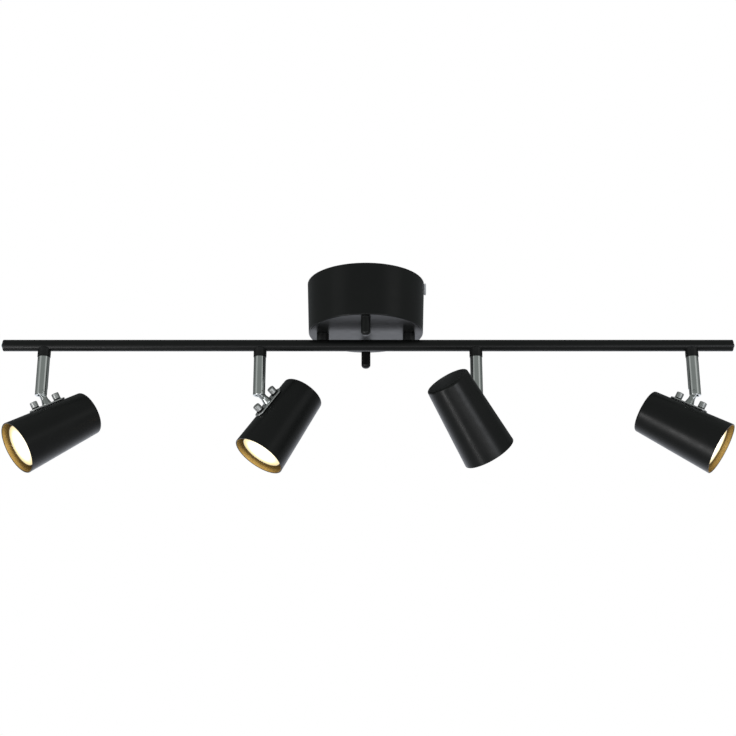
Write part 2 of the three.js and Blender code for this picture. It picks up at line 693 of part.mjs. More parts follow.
function addHead(parent, number, x, { pan, tilt, twist }) {
  const onBar = new THREE.Group();
  onBar.position.set(x, 0, -BAR_DROP);
  place(onBar, `collar_${number}`, collar, blackPaint());

  const panned = new THREE.Group();
  panned.rotation.z = radians(pan);
  place(panned, `rod_${number}`, rod, chrome());
  place(panned, `knee_pin_${number}`, kneePin, chrome());

  const tilted = new THREE.Group();
  tilted.position.z = -KNEE_DEPTH;
  tilted.rotation.y = radians(tilt) - SHADE_TAPER;
  place(tilted, `knee_foot_${number}`, kneeFoot, chrome());

  const turned = new THREE.Group();
  turned.rotation.z = radians(twist);
  place(turned, `mounting_plate_${number}`, mountingPlate, chrome());
  place(turned, `thumb_screw_${number}_front`, frontScrew, chrome());
  place(turned, `thumb_screw_${number}_rear`, rearScrew, chrome());
  place(turned, `shade_${number}`, shade, blackPaint());
  place(turned, `lamp_holder_${number}`, lampHolder, ceramicWhite());
  place(turned, `lamp_${number}`, lamp, lampGlass());

  tilted.add(turned);
  panned.add(tilted);
  onBar.add(panned);
  parent.add(onBar);
}

addCanopy(light);
addBar(light);
headPositions().forEach((x, i) => addHead(light, i + 1, x, HEADS[i]));

export default light;
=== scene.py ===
"""The looks of a ceiling spotlight bar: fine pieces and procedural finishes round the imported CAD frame."""

import json
import math

import bmesh
import bpy
from mathutils import Matrix, Vector


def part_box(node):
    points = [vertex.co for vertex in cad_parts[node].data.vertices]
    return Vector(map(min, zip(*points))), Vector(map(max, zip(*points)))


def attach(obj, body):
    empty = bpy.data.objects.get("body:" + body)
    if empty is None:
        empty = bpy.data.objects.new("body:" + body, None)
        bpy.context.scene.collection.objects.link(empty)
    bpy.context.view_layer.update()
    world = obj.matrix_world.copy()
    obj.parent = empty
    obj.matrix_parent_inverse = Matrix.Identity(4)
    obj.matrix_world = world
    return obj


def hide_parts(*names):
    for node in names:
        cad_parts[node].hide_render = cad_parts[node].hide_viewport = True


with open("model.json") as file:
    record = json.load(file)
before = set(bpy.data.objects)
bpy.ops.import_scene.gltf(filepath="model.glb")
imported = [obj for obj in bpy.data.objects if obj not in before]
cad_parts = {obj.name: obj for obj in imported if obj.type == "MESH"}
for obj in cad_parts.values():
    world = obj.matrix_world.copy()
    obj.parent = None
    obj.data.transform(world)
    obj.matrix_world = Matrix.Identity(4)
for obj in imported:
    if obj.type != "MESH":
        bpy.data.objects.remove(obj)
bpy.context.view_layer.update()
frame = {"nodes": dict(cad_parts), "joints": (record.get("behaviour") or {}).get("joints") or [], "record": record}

MM = 0.001
SIDES = (("left", -1), ("right", 1))
ENDS = ("front", "rear")
HEADS = (1, 2, 3, 4)

# ---- Sizes in metres. Most have the CAD's own names and values ----

TOUCH = 0.04 * MM  # clearance between fixed pieces that touch
PAST = 1 * MM  # how far a cutting tool runs past what it cuts
HALF_ROUND = 0.499  # a corner of this share of the width makes a round end

CRISP_EDGE = 0.25 * MM
FINE_EDGE = 0.3 * MM
SOFT_EDGE = 0.35 * MM
ROUND_EDGE = 0.5 * MM

CANOPY_TAPER = 2 * MM
CANOPY_WALL = 1.2 * MM
CANOPY_EDGE = 1.5 * MM
CANOPY_INNER_EDGE = 0.8 * MM
FACET_TURN = math.radians(3)  # keeps a drilled hole's facets from lining up with the cup's
ENTRY_LIP = 1 * MM
ENTRY_WEB = 9.4 * MM
ENTRY_STEPS = 16  # in its half circle
KNOCK_OUT_INNER = 2.6 * MM
KNOCK_OUT_OUTER = 3.2 * MM
KNOCK_OUT_DEPTH = 0.4 * MM
KNOCK_OUT_DROP = 0.6 * MM  # below the middle of the cable entry
BRACKET_CORNER = 3 * MM
SLOT_OFFSET = 30 * MM
SLOT_LENGTH = 14 * MM
SLOT_WIDTH = 5 * MM
STUD_HOLE = 2.5 * MM
STUD_RADIUS = 2 * MM
STUD_NUT_RADIUS = 4.4 * MM
STUD_NUT_HEIGHT = 3 * MM
STUD_LEAD = 1 * MM  # plain end below the thread, and half as much above it
STUD_POINT = 0.8  # an end's radius as a share of the stud's
THREAD_PITCH = 0.7 * MM
THREAD_DEPTH = 0.35 * MM
THREAD_STEP = THREAD_PITCH / 5
HEX_CHAMFER = 0.11  # as a share of the nut's radius
HEX_OVERSIZE = 1.02  # of the hexagon before its corners are turned off
NUT_DOME = 4.5 * MM
NUT_NECK = 1.2 * MM  # plain stretch above the cap nut's knurl
NUT_STEP = 0.2 * MM
TERMINAL_CORNER = 0.8 * MM
TERMINAL_EDGE = 0.4 * MM
TERMINAL_WELLS = (-11 * MM, 0, 11 * MM)
TERMINAL_WELL_RADIUS = 2.6 * MM
TERMINAL_WELL_DEPTH = 7 * MM
TERMINAL_GROOVES = (-5.5 * MM, 5.5 * MM)
TERMINAL_GROOVE_WIDTH = 0.8 * MM
TERMINAL_GROOVE_DEPTH = 2 * MM
TERMINAL_SCREW_FIT = 0.85  # the screw's radius as a share of its well's
TERMINAL_SCREW_HEIGHTS = (3 * MM, 4.5 * MM)
TERMINAL_SCREW_SLOT = (0.6 * MM, 6 * MM)
TERMINAL_SCREW_SLOT_HEIGHTS = (2 * MM, 3.5 * MM)
TERMINAL_SCREW_EDGE = 0.12 * MM
SLOT_CORNER = 0.1 * MM
LEAD_RADIUS = 1.6 * MM
LEAD_RISE = 10 * MM  # straight up from the canopy's floor
LEAD_LEAN = (4 * MM, -36 * MM)  # across from the screw, and height
LEAD_BEND = (-36 * MM, -15 * MM)  # place across, and height
LEAD_ARRIVAL = 6 * MM  # straight into the terminal block

BAR_WALL = 1 * MM
BAR_RING_GAP = 50 * MM
CAP_EDGE = 0.6 * MM
CAP_BORE_EDGE = 0.2 * MM
CAP_FLANGE = 2 * MM
CAP_PLUG = 8 * MM
SHAFT_HOLE = 4.4 * MM
END_SCREW_SHANK = 1.5 * MM
END_SCREW_DOME = 0.8  # 1 would be a true ellipse
END_SCREW_BLADE = (0.7 * MM, 3.2 * MM, 0.15 * MM)  # one arm of the cross recess: sides and corner
END_SCREW_RECESS = 1.1 * MM
HOLLOW_SHAFT = 4 * MM
HOLLOW_BORE = 2.6 * MM
HOLLOW_HEAD_RADIUS = 6.5 * MM
HOLLOW_HEAD_HEIGHT = 3.5 * MM

# Bottoms, tops and depths here are measured down from the bar's axis.
COLLAR_BOTTOM = 14.3 * MM
STEM_TOP = 4.2 * MM
STEM_BOTTOM = 26 * MM
STEM_EDGE = 0.4 * MM
ROD_GAP = 0.15 * MM  # between collar and rod, which turns under it
ROD_RADIUS = 7 * MM
ROD_BOTTOM = 61 * MM
ROD_END_EDGE = 0.9 * MM
ROD_RING_GAP = 2 * MM
ROD_BORE_END = 27.5 * MM
ROD_CUT_REACH = 9 * MM  # from the rod's axis past its surface
KNEE_DEPTH = 57 * MM
SLOT_HALF = 3.8 * MM
SLOT_REACH = 4.1 * MM
PIN_RADIUS = 1.5 * MM
PIN_LENGTH = 13.2 * MM
TONGUE_HALF_WIDTH = 3.5 * MM
TONGUE_HALF_THICKNESS = 3.4 * MM
TONGUE_LENGTH = 6 * MM
FOOT_BASE_RADIUS = 5.5 * MM
FOOT_RIM = 1 * MM
FOOT_CHAMFER = 0.2 * MM
FOOT_FLARE = 1.4  # 1 would widen evenly towards the base
FOOT_SIDES = 72
FOOT_TIP = 0.9995  # the highest ring's height as a share of the tongue's end
TONGUE_SQUARENESS = 4  # exponent of the section, where 2 is an ellipse

# Fronts, backs and the lamp's neck are places along the shade's axis, from under the knee pin.
SHADE_FRONT = 57.5 * MM
SHADE_BACK = -40 * MM
SHADE_FRONT_RADIUS = 31 * MM
SHADE_BACK_RADIUS = 25.5 * MM
SHADE_WALL = 1.2 * MM
SHADE_BACK_EDGE = 2.5 * MM
SHADE_INNER_EDGE = 1.4 * MM
SHADE_RIM_EDGE = 0.3 * MM
LINING = 0.12 * MM  # thickness of the paint inside the shade
LINING_INNER_EDGE = 1.3 * MM
AXIS_DROP = 44.9 * MM
PLATE_LENGTH = 45 * MM
PLATE_WIDTH = 14 * MM
PLATE_THICKNESS = 1.5 * MM
PLATE_GAP = 0.3 * MM  # between the shade's highest line and the plate
SCREW_SPACING = 28.4 * MM
SCREW_RADIUS = 4.4 * MM
SCREW_HEIGHT = 7 * MM
SCREW_CHAMFER = 0.5 * MM
SCREW_DISH = 0.35 * MM
SCREW_DISH_RADII = (0.45, 0.7)  # of the dish's floor and its brim, as shares of the head's
WASHER_RADIUS = 4.6 * MM
WASHER_HEIGHT = 1.3 * MM
SCREW_SHANK = 1.5 * MM
SCREW_SHANK_LENGTH = 7.2 * MM

LAMP_FRONT = 51.5 * MM
LAMP_RADIUS = 24.8 * MM
LAMP_BEZEL = 0.8 * MM
LAMP_BULGE = 0.9 * MM
LAMP_GLASS_INSET = 0.2 * MM
LAMP_GLASS_RINGS = 24
LAMP_GLASS_GROOVE = 0.06 * MM
LAMP_RECESS = 1.4 * MM  # depth of the body's recess, which holds the front glass
LAMP_RIM = 6 * MM
LAMP_RIM_EDGE = 2 * MM
LAMP_CURVE_EDGE = 6 * MM
LAMP_NECK_EDGE = 1 * MM
LAMP_BACK_EDGE = 0.8 * MM
LAMP_CURVE = ((21 * MM, 33.5 * MM), (14 * MM, 6.5 * MM))  # radius, and place along the axis
LAMP_NECK_RADIUS = 12.5 * MM
LAMP_NECK = 3.5 * MM
LAMP_BACK = -2.5 * MM

KNURL_DEPTH = 0.3 * MM
KNURL_PITCH = 1.05 * MM
KNURL_STEP = KNURL_PITCH / 4

POINT = 1e-9  # a smaller radius is a point on the axis
SAME = 1e-6  # radii closer than this count as equal
DEGENERATE = 1e-7  # shorter edges are taken out after a boolean

# ---- Places and sizes read from the frame ----

joints = {joint["name"]: joint for joint in frame["joints"]}


def size_of(node):
    low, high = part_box(node)
    return high - low


def middle_of(node):
    low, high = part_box(node)
    return (low + high) / 2


def placed(x, y, z, origin):
    """The matrix of a frame with these axes at this origin."""
    matrix = Matrix((x, y, z)).transposed().to_4x4()
    matrix.translation = origin
    return matrix


canopy_height = size_of("canopy").z
canopy_radius = size_of("canopy").y / 2
bar_middle = middle_of("bar").x
bar_axis = middle_of("bar").z
bar_radius = size_of("bar").z / 2
bar_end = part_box("end_cap_right")[1].x - bar_middle
UP = Vector((0, 0, 1))
ALONG = Matrix.Rotation(math.pi / 2, 4, "Y")  # lays a shaft along X
ACROSS = Matrix.Rotation(math.pi / 2, 4, "X")  # lays a shaft along Y
taper = math.atan((SHADE_FRONT_RADIUS - SHADE_BACK_RADIUS) / (SHADE_FRONT - SHADE_BACK))
shade_top = -(AXIS_DROP - SHADE_BACK_RADIUS + SHADE_BACK * math.tan(taper)) * math.cos(taper)
plate_bottom = shade_top + PLATE_GAP
plate_top = plate_bottom + PLATE_THICKNESS


def arm_place(number):
    """The rod's frame: on the bar's axis, with Z up, Y along the knee pin and X the way the head leans."""
    hinge = Vector(joints[f"tilt_{number}"]["axis"])
    knee = Vector(joints[f"tilt_{number}"]["pos_m"])
    return placed(hinge.cross(UP), hinge, UP, Vector((knee.x, knee.y, bar_axis)))


def plate_direction(number):
    """Along the mounting plate, from the rear thumb screw to the front one."""
    front = middle_of(f"thumb_screw_{number}_front")
    return (front - middle_of(f"thumb_screw_{number}_rear")).normalized()


def foot_place(number):
    """The knee foot's frame: at the knee pin, with Y along it and Z away from the shade."""
    hinge = Vector(joints[f"tilt_{number}"]["axis"])
    away = plate_direction(number).cross(hinge).normalized()
    return placed(hinge.cross(away), hinge, away, joints[f"tilt_{number}"]["pos_m"])


def head_place(number):
    """The plate's frame: as the foot's, but with X along the mounting plate."""
    along = plate_direction(number)
    away = along.cross(Vector(joints[f"tilt_{number}"]["axis"])).normalized()
    return placed(along, away.cross(along), away, joints[f"tilt_{number}"]["pos_m"])


def shade_place(number):
    """The shade's frame: Z along its axis towards the open end, with station 0 under the knee."""
    to_axis = Vector((-AXIS_DROP * math.sin(taper), 0, -AXIS_DROP * math.cos(taper)))
    turn = Matrix.Rotation(math.pi / 2 + taper, 4, "Y")
    place = head_place(number) @ Matrix.Translation(to_axis) @ turn
    rearward = place.to_3x3().transposed() @ Vector((0, 1, 0))
    # This turn doesn't show on round pieces. It keeps their boxes' corners near the fixture's own box.
    return place @ Matrix.Rotation(math.atan2(rearward.y, rearward.x), 4, "Z")


# ---- Mesh helpers ----


def rounded(corners, steps=4):
    """The corners as points, with an arc in place of each one that states a radius as its third number."""
    points = []
    for i, corner in enumerate(corners):
        here = Vector(corner[:2])
        if len(corner) < 3:
            points.append(here)
            continue
        before = (Vector(corners[i - 1][:2]) - here).normalized()
        after = (Vector(corners[(i + 1) % len(corners)][:2]) - here).normalized()
        half = before.angle(after) / 2
        centre = here + (before + after).normalized() * corner[2] / math.sin(half)
        start = here + before * corner[2] / math.tan(half) - centre
        end = here + after * corner[2] / math.tan(half) - centre
        turn = math.atan2(start.x * end.y - start.y * end.x, start.dot(end))
        for step in range(steps + 1):
            points.append(centre + Matrix.Rotation(turn * step / steps, 2) @ start)
    return points


def skin(mesh, lower, upper):
    """Faces between two rings of vertices, either of which may be a single point."""
    count = max(len(lower), len(upper))
    for k in range(count):
        around = [lower[k % len(lower)], lower[(k + 1) % len(lower)]]
        around += [upper[(k + 1) % len(upper)], upper[k % len(upper)]]
        mesh.faces.new(dict.fromkeys(around))


def outward(mesh):
    bmesh.ops.recalc_face_normals(mesh, faces=mesh.faces)
    return mesh


def lathe(corners, sides=96, closed=False, relief=None, steps=4):
    """A solid of revolution about Z from [radius, height, rounding] corners. relief adds to the radius."""
    mesh = bmesh.new()
    rings = []
    for radius, height in rounded(corners, steps):
        if radius < POINT:
            rings.append([mesh.verts.new((0, 0, height))])
            continue
        ring = []
        for k in range(sides):
            angle = 2 * math.pi * k / sides
            reach = radius + (relief(radius, height, angle) if relief else 0)
            ring.append(mesh.verts.new((reach * math.cos(angle), reach * math.sin(angle), height)))
        rings.append(ring)
    if closed:
        rings.append(rings[0])
    for lower, upper in zip(rings, rings[1:]):
        skin(mesh, lower, upper)
    return outward(mesh)


def shaft(radius, low, high, sides=32):
    return lathe([(0, low), (radius, low), (radius, high), (0, high)], sides)


def tube(inner, outer, low, high, edges=(0, 0), sides=96):
    """A sleeve about Z. The edges are the roundings of its outside, below and above."""
    below = (outer, low, edges[0]) if edges[0] else (outer, low)
    above = (outer, high, edges[1]) if edges[1] else (outer, high)
    return lathe([(inner, low), below, above, (inner, high)], sides, closed=True)


def prism(outline, low, high):
    """A flat outline pulled up along Z between two heights."""
    mesh = bmesh.new()
    lower, upper = ([mesh.verts.new((x, y, z)) for x, y in outline] for z in (low, high))
    skin(mesh, lower, upper)
    mesh.faces.new(lower)
    mesh.faces.new(upper)
    return outward(mesh)


def oblong(width, depth, corner, steps=5):
    """A rectangle's outline with round corners."""
    x, y = width / 2, depth / 2
    return rounded([(x, -y, corner), (x, y, corner), (-x, y, corner), (-x, -y, corner)], steps)


def hexagon(radius):
    """A hexagon's outline with corners on the Y axis."""
    return [(radius * math.sin(a), radius * math.cos(a)) for a in (math.pi * k / 3 for k in range(6))]


def moved(mesh, *matrices):
    for matrix in matrices:
        bmesh.ops.transform(mesh, matrix=matrix, verts=mesh.verts)
    return mesh


def shifted(mesh, x=0, y=0, z=0):
    return moved(mesh, Matrix.Translation((x, y, z)))


def soften(mesh, width, segments=2, beyond=50):
    """Bevels the edges that turn by more than an angle, in degrees."""
    limit = math.radians(beyond)
    edges = [e for e in mesh.edges if e.is_manifold and e.calc_face_angle(0) > limit]
    bmesh.ops.bevel(
        mesh, geom=edges, offset=width, segments=segments, profile=0.5, affect="EDGES", clamp_overlap=True
    )
    return mesh


def loose_object(mesh):
    data = bpy.data.meshes.new("work")
    mesh.to_mesh(data)
    mesh.free()
    item = bpy.data.objects.new("work", data)
    bpy.context.scene.collection.objects.link(item)
    return item


def combine(operation, body, *tools):
    """Joins, cuts or intersects solids: operation is UNION, DIFFERENCE or INTERSECT."""
    base, others = loose_object(body), [loose_object(tool) for tool in tools]
    for other in others:
        modifier = base.modifiers.new("combine", "BOOLEAN")
        modifier.operation = operation
        modifier.solver = "EXACT"
        modifier.object = other
    result = bmesh.new()
    result.from_object(base, bpy.context.evaluated_depsgraph_get())
    bmesh.ops.dissolve_degenerate(result, dist=DEGENERATE, edges=result.edges)
    for item in (base, *others):
        bpy.data.objects.remove(item)
    return result


def knurl(pitch, depth, radius, low, high):
    """A relief of crossing grooves between two heights, as a diamond knurl has."""
    count = round(2 * math.pi * radius / pitch)

    def relief(at_radius, height, angle):
        if at_radius < radius - SAME or not low < height < high:
            return 0
        turns = count * angle / (2 * math.pi)
        grooves = (abs((turns + side * height / pitch) % 1 - 0.5) * 2 for side in (-1, 1))
        return -depth * max(grooves)

    return relief


def thread(pitch, depth, radius, low, high):
    """A relief that winds round as a screw thread, between two heights."""

    def relief(at_radius, height, angle):
        if at_radius < radius - SAME or not low < height < high:
            return 0
        return -depth * abs((height / pitch - angle / (2 * math.pi)) % 1 - 0.5) * 2

    return relief


def ladder(radius, low, high, step):
    """Profile points up a straight stretch, close enough together for a relief."""
    count = max(1, round((high - low) / step))
    return [(radius, low + (high - low) * i / count) for i in range(count + 1)]


# ---- Finishes ----

LAMP_GLOW = (2.2, 0.75)  # emission strength in the middle and at the rim
LAMP_GLOW_START = 0.4  # share of the radius where the glow starts to fade
LAMP_GLOW_COLOURS = ((1, 0.94, 0.76), (1, 0.83, 0.43))
DIMPLE_SIZE = 1.6 * MM
DIMPLE_GLOW = (0.92, 1.08)


class Nodes:
    """A node tree with short ways to add to it."""

    def __init__(self, tree):
        self.tree = tree

    def add(self, kind, inputs=None, **settings):
        node = self.tree.nodes.new(kind)
        for name, value in settings.items():
            setattr(node, name, value)
        for name, value in (inputs or {}).items():
            self.feed(node.inputs[name], value)
        return node

    def feed(self, socket, value):
        if isinstance(value, bpy.types.NodeSocket):
            self.tree.links.new(value, socket)
        else:
            socket.default_value = value

    def maths(self, operation, *values):
        return self.add("ShaderNodeMath", dict(enumerate(values)), operation=operation).outputs[0]

    def span(self, value, low, high, from_low=0.3, from_high=0.7, curve="LINEAR"):
        """The value stretched to lie between two numbers."""
        inputs = {0: value, 1: from_low, 2: from_high, 3: low, 4: high}
        return self.add("ShaderNodeMapRange", inputs, interpolation_type=curve).outputs[0]

    def mix(self, factor, first, second):
        """A blend of two colours, which may be sockets or three numbers."""
        node = self.add("ShaderNodeMix", data_type="RGBA")
        sockets = {socket.identifier: socket for socket in node.inputs}
        self.feed(sockets["Factor_Float"], factor)
        for name, colour in (("A_Color", first), ("B_Color", second)):
            self.feed(sockets[name], (*colour, 1) if isinstance(colour, tuple) else colour)
        return next(socket for socket in node.outputs if socket.identifier == "Result_Color")


class Finish(Nodes):
    """A Principled material and the patterns that vary it."""

    def __init__(self, name, **constants):
        self.material = bpy.data.materials.new(name)
        self.material.use_nodes = True
        super().__init__(self.material.node_tree)
        self.shader = self.tree.nodes["Principled BSDF"]
        for socket, value in constants.items():
            self.shader.inputs[socket.replace("_", " ")].default_value = value
        self.place = self.add("ShaderNodeTexCoord").outputs["Object"]

    def noise(self, size, detail=3, stretch=(1, 1, 1)):
        """Noise from 0 to 1 whose features are about this large, longer along an axis that is stretched."""
        scale = [1 / (size * s) for s in stretch]
        scaled = self.add("ShaderNodeMapping", {"Vector": self.place, "Scale": scale})
        inputs = {"Vector": scaled.outputs[0], "Scale": 1, "Detail": detail}
        return self.add("ShaderNodeTexNoise", inputs).outputs[0]

    def cells(self, size):
        """A random value for each cell of about this size."""
        texture = self.add("ShaderNodeTexVoronoi", {"Vector": self.place, "Scale": 1 / size})
        return self.add("ShaderNodeSeparateColor", {0: texture.outputs["Color"]}).outputs[0]

    def edges(self, low=0.53, high=0.62):
        """1 on convex edges and 0 on flat ground, broken up by noise."""
        pointed = self.add("ShaderNodeNewGeometry").outputs["Pointiness"]
        edge = self.span(pointed, 0, 1, low, high)
        broken = self.span(self.noise(1.5 * MM), 0.2, 1)
        return self.maths("MULTIPLY", edge, broken)

    def colour(self, value):
        self.feed(self.shader.inputs["Base Color"], value)
        return self

    def roughness(self, value):
        self.feed(self.shader.inputs["Roughness"], value)
        return self

    def bump(self, height, depth):
        """Relief of the given depth, in metres, from a height between 0 and 1."""
        node = self.add("ShaderNodeBump", {"Height": height, "Strength": 1, "Distance": depth})
        self.feed(self.shader.inputs["Normal"], node.outputs[0])
        return self


def satin_black():
    finish = Finish("satin_black", Specular_IOR_Level=0.26)
    ground = finish.mix(finish.noise(35 * MM), (0.0040, 0.0045, 0.0044), (0.0058, 0.0063, 0.0062))
    finish.colour(finish.mix(finish.edges(), ground, (0.02, 0.02, 0.021)))
    finish.roughness(finish.span(finish.noise(9 * MM), 0.28, 0.35))
    return finish.bump(finish.noise(0.8 * MM, detail=2), 0.006 * MM).material


def black_plastic():
    finish = Finish("black_plastic", Specular_IOR_Level=0.35)
    finish.colour(finish.mix(finish.edges(), (0.006, 0.006, 0.0065), (0.02, 0.02, 0.02)))
    finish.roughness(finish.span(finish.noise(4 * MM), 0.3, 0.42))
    return finish.bump(finish.noise(0.4 * MM), 0.004 * MM).material


def black_rubber():
    finish = Finish("black_rubber", Specular_IOR_Level=0.15)
    finish.colour(finish.mix(finish.noise(1.2 * MM), (0.002, 0.002, 0.002), (0.005, 0.005, 0.005)))
    finish.roughness(finish.span(finish.noise(0.8 * MM), 0.55, 0.75))
    return finish.bump(finish.noise(0.25 * MM), 0.02 * MM).material


def chrome():
    finish = Finish("chrome", Metallic=1)
    ground = finish.mix(finish.noise(12 * MM), (0.56, 0.58, 0.57), (0.64, 0.66, 0.65))
    finish.colour(finish.mix(finish.edges(0.55, 0.7), ground, (0.78, 0.79, 0.78)))
    smears = finish.noise(3 * MM, stretch=(1, 1, 4))
    finish.roughness(finish.span(smears, 0.07, 0.16))
    return finish.bump(finish.noise(0.3 * MM, stretch=(1, 1, 8)), 0.0006 * MM).material


def cast_chrome():
    """Chrome over a casting, whose shallow dents break up what it reflects."""
    finish = Finish("cast_chrome", Metallic=1)
    ground = finish.mix(finish.noise(2 * MM), (0.40, 0.42, 0.41), (0.58, 0.60, 0.59))
    finish.colour(finish.mix(finish.edges(0.55, 0.7), ground, (0.70, 0.71, 0.70)))
    finish.roughness(finish.span(finish.noise(1.2 * MM), 0.18, 0.3))
    return finish.bump(finish.noise(2.2 * MM, detail=1), 0.3 * MM).material


def brushed_chrome():
    """Chrome dulled by its fine texture, as on knurls and small screw heads."""
    finish = Finish("brushed_chrome", Metallic=1)
    ground = finish.mix(finish.noise(1.6 * MM), (0.44, 0.45, 0.44), (0.62, 0.63, 0.62))
    finish.colour(finish.mix(finish.edges(0.52, 0.6), ground, (0.78, 0.78, 0.77)))
    finish.roughness(finish.span(finish.noise(0.7 * MM), 0.34, 0.5))
    return finish.bump(finish.noise(0.25 * MM), 0.004 * MM).material


def zinc_steel():
    finish = Finish("zinc_steel", Metallic=0.95)
    finish.colour(finish.mix(finish.cells(2.2 * MM), (0.36, 0.37, 0.38), (0.50, 0.51, 0.53)))
    finish.roughness(finish.span(finish.cells(1.6 * MM), 0.28, 0.45, 0, 1))
    return finish.bump(finish.noise(0.2 * MM, stretch=(1, 10, 1)), 0.002 * MM).material


def moulded(name, shade, tint):
    finish = Finish(name, Specular_IOR_Level=0.45)
    finish.colour(finish.mix(finish.noise(5 * MM), shade, tint))
    finish.roughness(finish.span(finish.noise(1.5 * MM), 0.36, 0.5))
    return finish.bump(finish.noise(0.3 * MM), 0.006 * MM).material


def wire_sheath():
    finish = Finish("wire_sheath", Specular_IOR_Level=0.4)
    finish.colour(finish.mix(finish.noise(6 * MM), (0.13, 0.14, 0.15), (0.19, 0.20, 0.21)))
    finish.roughness(finish.span(finish.noise(1 * MM), 0.45, 0.6))
    return finish.bump(finish.noise(0.4 * MM), 0.01 * MM).material


def ceramic():
    finish = Finish("ceramic", Specular_IOR_Level=0.4)
    finish.colour(finish.mix(finish.noise(2 * MM), (0.72, 0.67, 0.58), (0.80, 0.77, 0.70)))
    finish.roughness(finish.span(finish.noise(0.8 * MM), 0.5, 0.7))
    return finish.bump(finish.noise(0.3 * MM), 0.02 * MM).material


def gold_paint():
    finish = Finish("gold_paint", Metallic=0.6)
    ground = finish.mix(finish.noise(9 * MM), (0.36, 0.225, 0.055), (0.48, 0.310, 0.090))
    finish.colour(finish.mix(finish.edges(), ground, (0.42, 0.30, 0.12)))
    finish.roughness(finish.span(finish.noise(2.5 * MM), 0.30, 0.38))
    return finish.bump(finish.noise(0.9 * MM), 0.0005 * MM).material


def lamp_glass():
    """The reflector lamp's coated glass body."""
    finish = Finish("lamp_glass", Metallic=0.7)
    finish.colour(finish.mix(finish.noise(8 * MM), (0.62, 0.58, 0.50), (0.78, 0.74, 0.66)))
    finish.roughness(finish.span(finish.noise(2 * MM), 0.18, 0.3))
    return finish.bump(finish.noise(0.6 * MM), 0.01 * MM).material


def lit_glass():
    """The lamp's front glass: white hot in the middle and fading to gold at its rim."""
    finish = Finish("lit_glass", Roughness=0.2)
    flat = finish.add("ShaderNodeVectorMath", {0: finish.place, 1: (1, 1, 0)}, operation="MULTIPLY")
    length = finish.add("ShaderNodeVectorMath", {0: flat.outputs[0]}, operation="LENGTH")
    outwards = finish.maths("DIVIDE", length.outputs["Value"], LAMP_RADIUS - LAMP_BEZEL)
    fade = finish.span(outwards, 0, 1, LAMP_GLOW_START, 1, curve="SMOOTHSTEP")
    dimples = finish.span(finish.cells(DIMPLE_SIZE), *DIMPLE_GLOW, 0, 1)
    strength = finish.maths("MULTIPLY", finish.span(fade, *LAMP_GLOW, 0, 1), dimples)
    finish.feed(finish.shader.inputs["Emission Strength"], strength)
    finish.feed(finish.shader.inputs["Emission Color"], finish.mix(fade, *LAMP_GLOW_COLOURS))
    return finish.colour(finish.mix(fade, (0.30, 0.28, 0.24), (0.22, 0.18, 0.10))).material


finishes = {
    "satin_black": satin_black(),
    "black_plastic": black_plastic(),
    "black_rubber": black_rubber(),
    "chrome": chrome(),
    "zinc_steel": zinc_steel(),
    "grey_plastic": moulded("grey_plastic", (0.50, 0.52, 0.54), (0.58, 0.60, 0.62)),
    "white_plastic": moulded("white_plastic", (0.74, 0.73, 0.67), (0.84, 0.83, 0.78)),
    "wire_sheath": wire_sheath(),
    "ceramic": ceramic(),
    "gold_paint": gold_paint(),
    "lamp_glass": lamp_glass(),
}
lit = lit_glass()
dull = brushed_chrome()
cast = cast_chrome()


def add_piece(name, mesh, place, slot, body, *nodes, material=None, sharp=35):
    """A finished piece at its place, on its body, standing for the CAD nodes named."""
    data = bpy.data.meshes.new(name)
    mesh.to_mesh(data)
    mesh.free()
    data.shade_smooth()
    data.set_sharp_from_angle(angle=math.radians(sharp))
    data.materials.append(material or finishes[slot])
    item = bpy.data.objects.new(name, data)
    bpy.context.scene.collection.objects.link(item)
    item.matrix_world = place
    item.modifiers.new("even_normals", "WEIGHTED_NORMAL").keep_sharp = True
    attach(item, body)
    if nodes:
        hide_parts(*nodes)
    return item


def at(x=0, y=0, z=0):
    return Matrix.Translation((x, y, z))


# ---- Canopy and what is in it ----


def entry_outline(width, depth, above):
    """The cable entry's U, open at the top, as [across, height] points."""
    half = width / 2
    turns = (math.pi * (1 + step / ENTRY_STEPS) for step in range(ENTRY_STEPS + 1))
    arc = [(half * math.cos(turn), half - depth + half * math.sin(turn)) for turn in turns]
    return [(half, above), (-half, above), *arc]


def entry_plate(width, depth, above, near, far):
    """That U between two distances out along X."""
    stand = Matrix.Rotation(math.pi / 2, 4, "Z") @ ACROSS
    return moved(prism(entry_outline(width, depth, above), near, far), stand)


def make_canopy():
    floor_radius = canopy_radius - CANOPY_TAPER
    inside = CANOPY_WALL - canopy_height
    cup = lathe(
        [
            (0, inside),
            (floor_radius - CANOPY_WALL, inside, CANOPY_INNER_EDGE),
            (canopy_radius - CANOPY_WALL, 0, FINE_EDGE),
            (canopy_radius, 0, SOFT_EDGE),
            (floor_radius, -canopy_height, CANOPY_EDGE),
            (0, -canopy_height),
        ],
        sides=180,
        steps=6,
    )
    low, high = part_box("cable_entry_insert")
    notch = entry_plate(high.y - low.y - 2 * ENTRY_LIP, -low.z, PAST, low.x, canopy_radius + PAST)
    stud_y = middle_of("bracket_stud_rear").y
    spacer_x = middle_of("spacer_right").x
    drill = (-canopy_height - PAST, inside + PAST)
    aside = Matrix.Rotation(FACET_TURN, 4, "Z")
    holes = [moved(shaft(STUD_HOLE, *drill), aside, at(y=side * stud_y)) for side in (-1, 1)]
    holes += [moved(shaft(SHAFT_HOLE, *drill), aside, at(x=side * spacer_x)) for side in (-1, 1)]
    shell = combine("DIFFERENCE", cup, notch, *holes)
    add_piece("canopy_shell", shell, at(), "satin_black", "base", "canopy")


